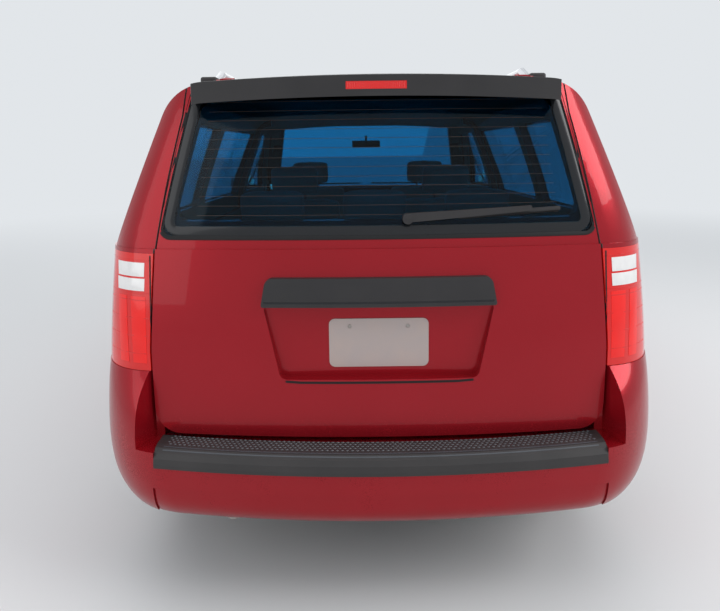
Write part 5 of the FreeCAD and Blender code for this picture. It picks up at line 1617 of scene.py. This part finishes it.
@dataclass
class Carried:
    """The CAD nodes that keep their shape and take a finish by their record slot."""

    finish_of_slot: dict[str, str] = field(default_factory=lambda: {
        "paint": "crimson_paint",
        "dark_trim": "dark_plastic",
        "window": "tinted_glass",
        "lamp_red": "red_lens",
        "lamp_clear": "clear_lens",
        "silver_trim": "silver_plastic",
        "tyre": "tyre_rubber",
        "steel": "bare_steel",
        "chassis": "chassis_black",
        "iron": "cast_iron",
        "cloth": "seat_cloth",
        "interior": "cabin_plastic",
    })
    lined_nodes: tuple[str, ...] = ("side_frames", "front_door_left", "front_door_right", "sliding_doors",
                                    "roof_panel", "liftgate")
    lining_finish: str = "cabin_plastic"
    cabin_y: Point2 = (-1.16, 2.60)
    floor_z: float = 0.25
    wall_x: float = 0.45
    wall_lean: float = 0.6
    roof_z: float = 1.45
    gate_y: float = 2.0
    flat: float = 0.75

    def _faces_cabin(self, centre: Vector, normal: Vector) -> bool:
        """Tells whether a face of a body panel looks into the cabin.

        Args:
            centre: The face's middle.
            normal: The way the face looks.

        Returns:
            True for the inner side of a wall, of the roof or of the liftgate.
        """
        if not self.cabin_y[0] < centre.y < self.cabin_y[1] or centre.z < self.floor_z:
            return False
        side = abs(centre.x) > self.wall_x and normal.x * centre.x < 0.0 and abs(normal.x) > self.wall_lean
        above = centre.z > self.roof_z and normal.z < -self.flat
        behind = centre.y > self.gate_y and normal.y < -self.flat
        return side or above or behind

    def _line(self, mesh: bpy.types.Mesh) -> None:
        """Gives the faces that look into the cabin the cabin's own finish.

        Args:
            mesh: A body panel's mesh, with its paint in the first slot.
        """
        mesh.materials.append(PALETTE[self.lining_finish])
        for face in mesh.polygons:
            face.material_index = int(self._faces_cabin(face.center, face.normal))

    def dress(self) -> None:
        """Gives each node's object its finish, and the body's walls their lining."""
        slots = {row["node"]: row["material_slot"] for row in frame["record"]["subparts"]}
        for node, slot in slots.items():
            mesh = frame["nodes"][node].data
            mesh.materials.clear()
            mesh.materials.append(PALETTE[self.finish_of_slot[slot]])
            if node in self.lined_nodes:
                self._line(mesh)
        LOG.info("dressed %d nodes", len(slots))


@dataclass(frozen=True)
class Lamp:
    """A square soft lamp: its place, width and power, and what it is aimed at."""

    name: str
    place: Point3
    width: float
    power: float
    target: Point3


@dataclass
class Studio:
    """The floor, the lights and the camera behind the vehicle."""

    camera_place: Point3 = (0.051, 4.20, 1.44)
    pitch_deg: float = 7.0
    yaw_deg: float = 0.08
    roll_deg: float = -0.7
    lens_mm: float = 30.0
    sensor_mm: float = 36.0
    shift_y: float = -0.116
    floor_half: float = 60.0
    floor_colour: Colour = (0.74, 0.74, 0.74)
    floor_roughness: float = 0.9
    fade: Point2 = (3.0, 12.0)
    pale: Colour = (0.76, 0.79, 0.82)
    world_colour: Colour = (0.8, 0.85, 0.9)
    world_strength: float = 0.68
    lamps: tuple[Lamp, ...] = (
        Lamp("key", (-6.5, 4.5, 5.0), 4.0, 260.0, (0.0, 1.8, 0.8)),
        Lamp("fill", (5.0, 6.0, 3.0), 5.0, 90.0, (0.0, 1.8, 0.8)),
        Lamp("top", (0.0, 1.5, 6.0), 8.0, 150.0, (0.0, 0.5, 0.0)),
        Lamp("nose", (2.0, -8.0, 5.0), 9.0, 170.0, (0.0, -1.5, 0.6)))

    def build(self) -> None:
        """Builds all three."""
        self._floor()
        self._world()
        for lamp in self.lamps:
            self._light(lamp)
        self._camera()
        bpy.context.scene.view_settings.view_transform = "Standard"

    @staticmethod
    def _looks(tree: NodeTree) -> bpy.types.NodeSocket:
        """Finds what is seen, straight on, mirrored or through glass.

        Args:
            tree: The nodes of the floor or of the world.

        Returns:
            A socket that is 1 for such a ray and 0 for the light that falls on things.
        """
        path = tree.nodes.new("ShaderNodeLightPath")
        total = path.outputs["Is Camera Ray"]
        for kind in ("Is Glossy Ray", "Is Transmission Ray"):
            both = tree.nodes.new("ShaderNodeMath")
            both.operation = "MAXIMUM"
            tree.links.new(total, both.inputs[0])
            tree.links.new(path.outputs[kind], both.inputs[1])
            total = both.outputs[0]
        return total

    def _floor(self) -> None:
        """Lays a pale floor that runs into the pale world past the shadow."""
        mesh = bpy.data.meshes.new("floor")
        bm = bmesh.new()
        bmesh.ops.create_grid(bm, x_segments=1, y_segments=1, size=self.floor_half)
        bm.to_mesh(mesh)
        bm.free()
        floor = bpy.data.objects.new("floor", mesh)
        bpy.context.collection.objects.link(floor)
        mesh.materials.append(self._floor_finish())

    def _floor_finish(self) -> Material:
        """Makes the floor's material.

        Returns:
            A matt material that fades into the pale colour with distance.
        """
        material = bpy.data.materials.new("pale_floor")
        material.use_nodes = True
        shader = material.node_tree.nodes["Principled BSDF"]
        shader.inputs["Base Color"].default_value = (*self.floor_colour, 1.0)
        shader.inputs["Roughness"].default_value = self.floor_roughness
        nodes, link = material.node_tree.nodes, material.node_tree.links.new
        place, away, far = (nodes.new(f"ShaderNode{kind}") for kind in ("TexCoord", "VectorMath", "MapRange"))
        away.operation = "LENGTH"
        far.interpolation_type = "SMOOTHSTEP"
        far.inputs["From Min"].default_value = self.fade[0]
        far.inputs["From Max"].default_value = self.fade[1]
        share, glow, mix = (nodes.new(f"ShaderNode{kind}") for kind in ("Math", "Emission", "MixShader"))
        share.operation = "MULTIPLY"
        glow.inputs["Color"].default_value = (*self.pale, 1.0)
        link(place.outputs["Object"], away.inputs[0])
        link(away.outputs["Value"], far.inputs["Value"])
        link(far.outputs[0], share.inputs[0])
        link(self._looks(material.node_tree), share.inputs[1])
        link(share.outputs[0], mix.inputs[0])
        link(shader.outputs[0], mix.inputs[1])
        link(glow.outputs[0], mix.inputs[2])
        link(mix.outputs[0], nodes["Material Output"].inputs["Surface"])
        return material

    def _world(self) -> None:
        """Makes a dim world that looks pale wherever it is seen."""
        world = bpy.data.worlds.new("studio")
        bpy.context.scene.world = world
        world.use_nodes = True
        tree = world.node_tree
        back = tree.nodes["Background"]
        back.inputs["Color"].default_value = (*self.world_colour, 1.0)
        back.inputs["Strength"].default_value = self.world_strength
        pale = tree.nodes.new("ShaderNodeBackground")
        pale.inputs["Color"].default_value = (*self.pale, 1.0)
        choose = tree.nodes.new("ShaderNodeMixShader")
        tree.links.new(self._looks(tree), choose.inputs[0])
        tree.links.new(back.outputs[0], choose.inputs[1])
        tree.links.new(pale.outputs[0], choose.inputs[2])
        tree.links.new(choose.outputs[0], tree.nodes["World Output"].inputs["Surface"])

    @staticmethod
    def _light(lamp: Lamp) -> None:
        """Hangs one lamp and aims it.

        Args:
            lamp: Its sizes.
        """
        light = bpy.data.lights.new(lamp.name, "AREA")
        light.size = lamp.width
        light.energy = lamp.power
        hung = bpy.data.objects.new(lamp.name, light)
        bpy.context.collection.objects.link(hung)
        hung.location = lamp.place
        aim = Vector(lamp.target) - Vector(lamp.place)
        hung.rotation_euler = aim.to_track_quat("-Z", "Y").to_euler()

    def _camera(self) -> None:
        """Sets the camera at the photograph's angle."""
        data = bpy.data.cameras.new("camera")
        data.lens = self.lens_mm
        data.sensor_width = self.sensor_mm
        data.shift_y = self.shift_y
        camera = bpy.data.objects.new("camera", data)
        bpy.context.collection.objects.link(camera)
        camera.location = self.camera_place
        turn = Matrix.Rotation(math.radians(180.0 + self.yaw_deg), 4, "Z")
        tilt = Matrix.Rotation(math.radians(90.0 - self.pitch_deg), 4, "X")
        roll = Matrix.Rotation(math.radians(self.roll_deg), 4, "Z")
        camera.rotation_euler = (turn @ tilt @ roll).to_euler()
        bpy.context.scene.camera = camera


def main() -> None:
    """Builds and dresses the vehicle in order."""
    Studio().build()
    Carried().dress()
    for assembly in (Tail(), SideTrim(Side.LEFT), SideTrim(Side.RIGHT), Nose(), RunningGear(), Cabin()):
        for piece in assembly.pieces():
            piece.build()
    LOG.info("sizes written")


if __name__ == "__main__":
    logging.basicConfig(level=logging.INFO)
    main()
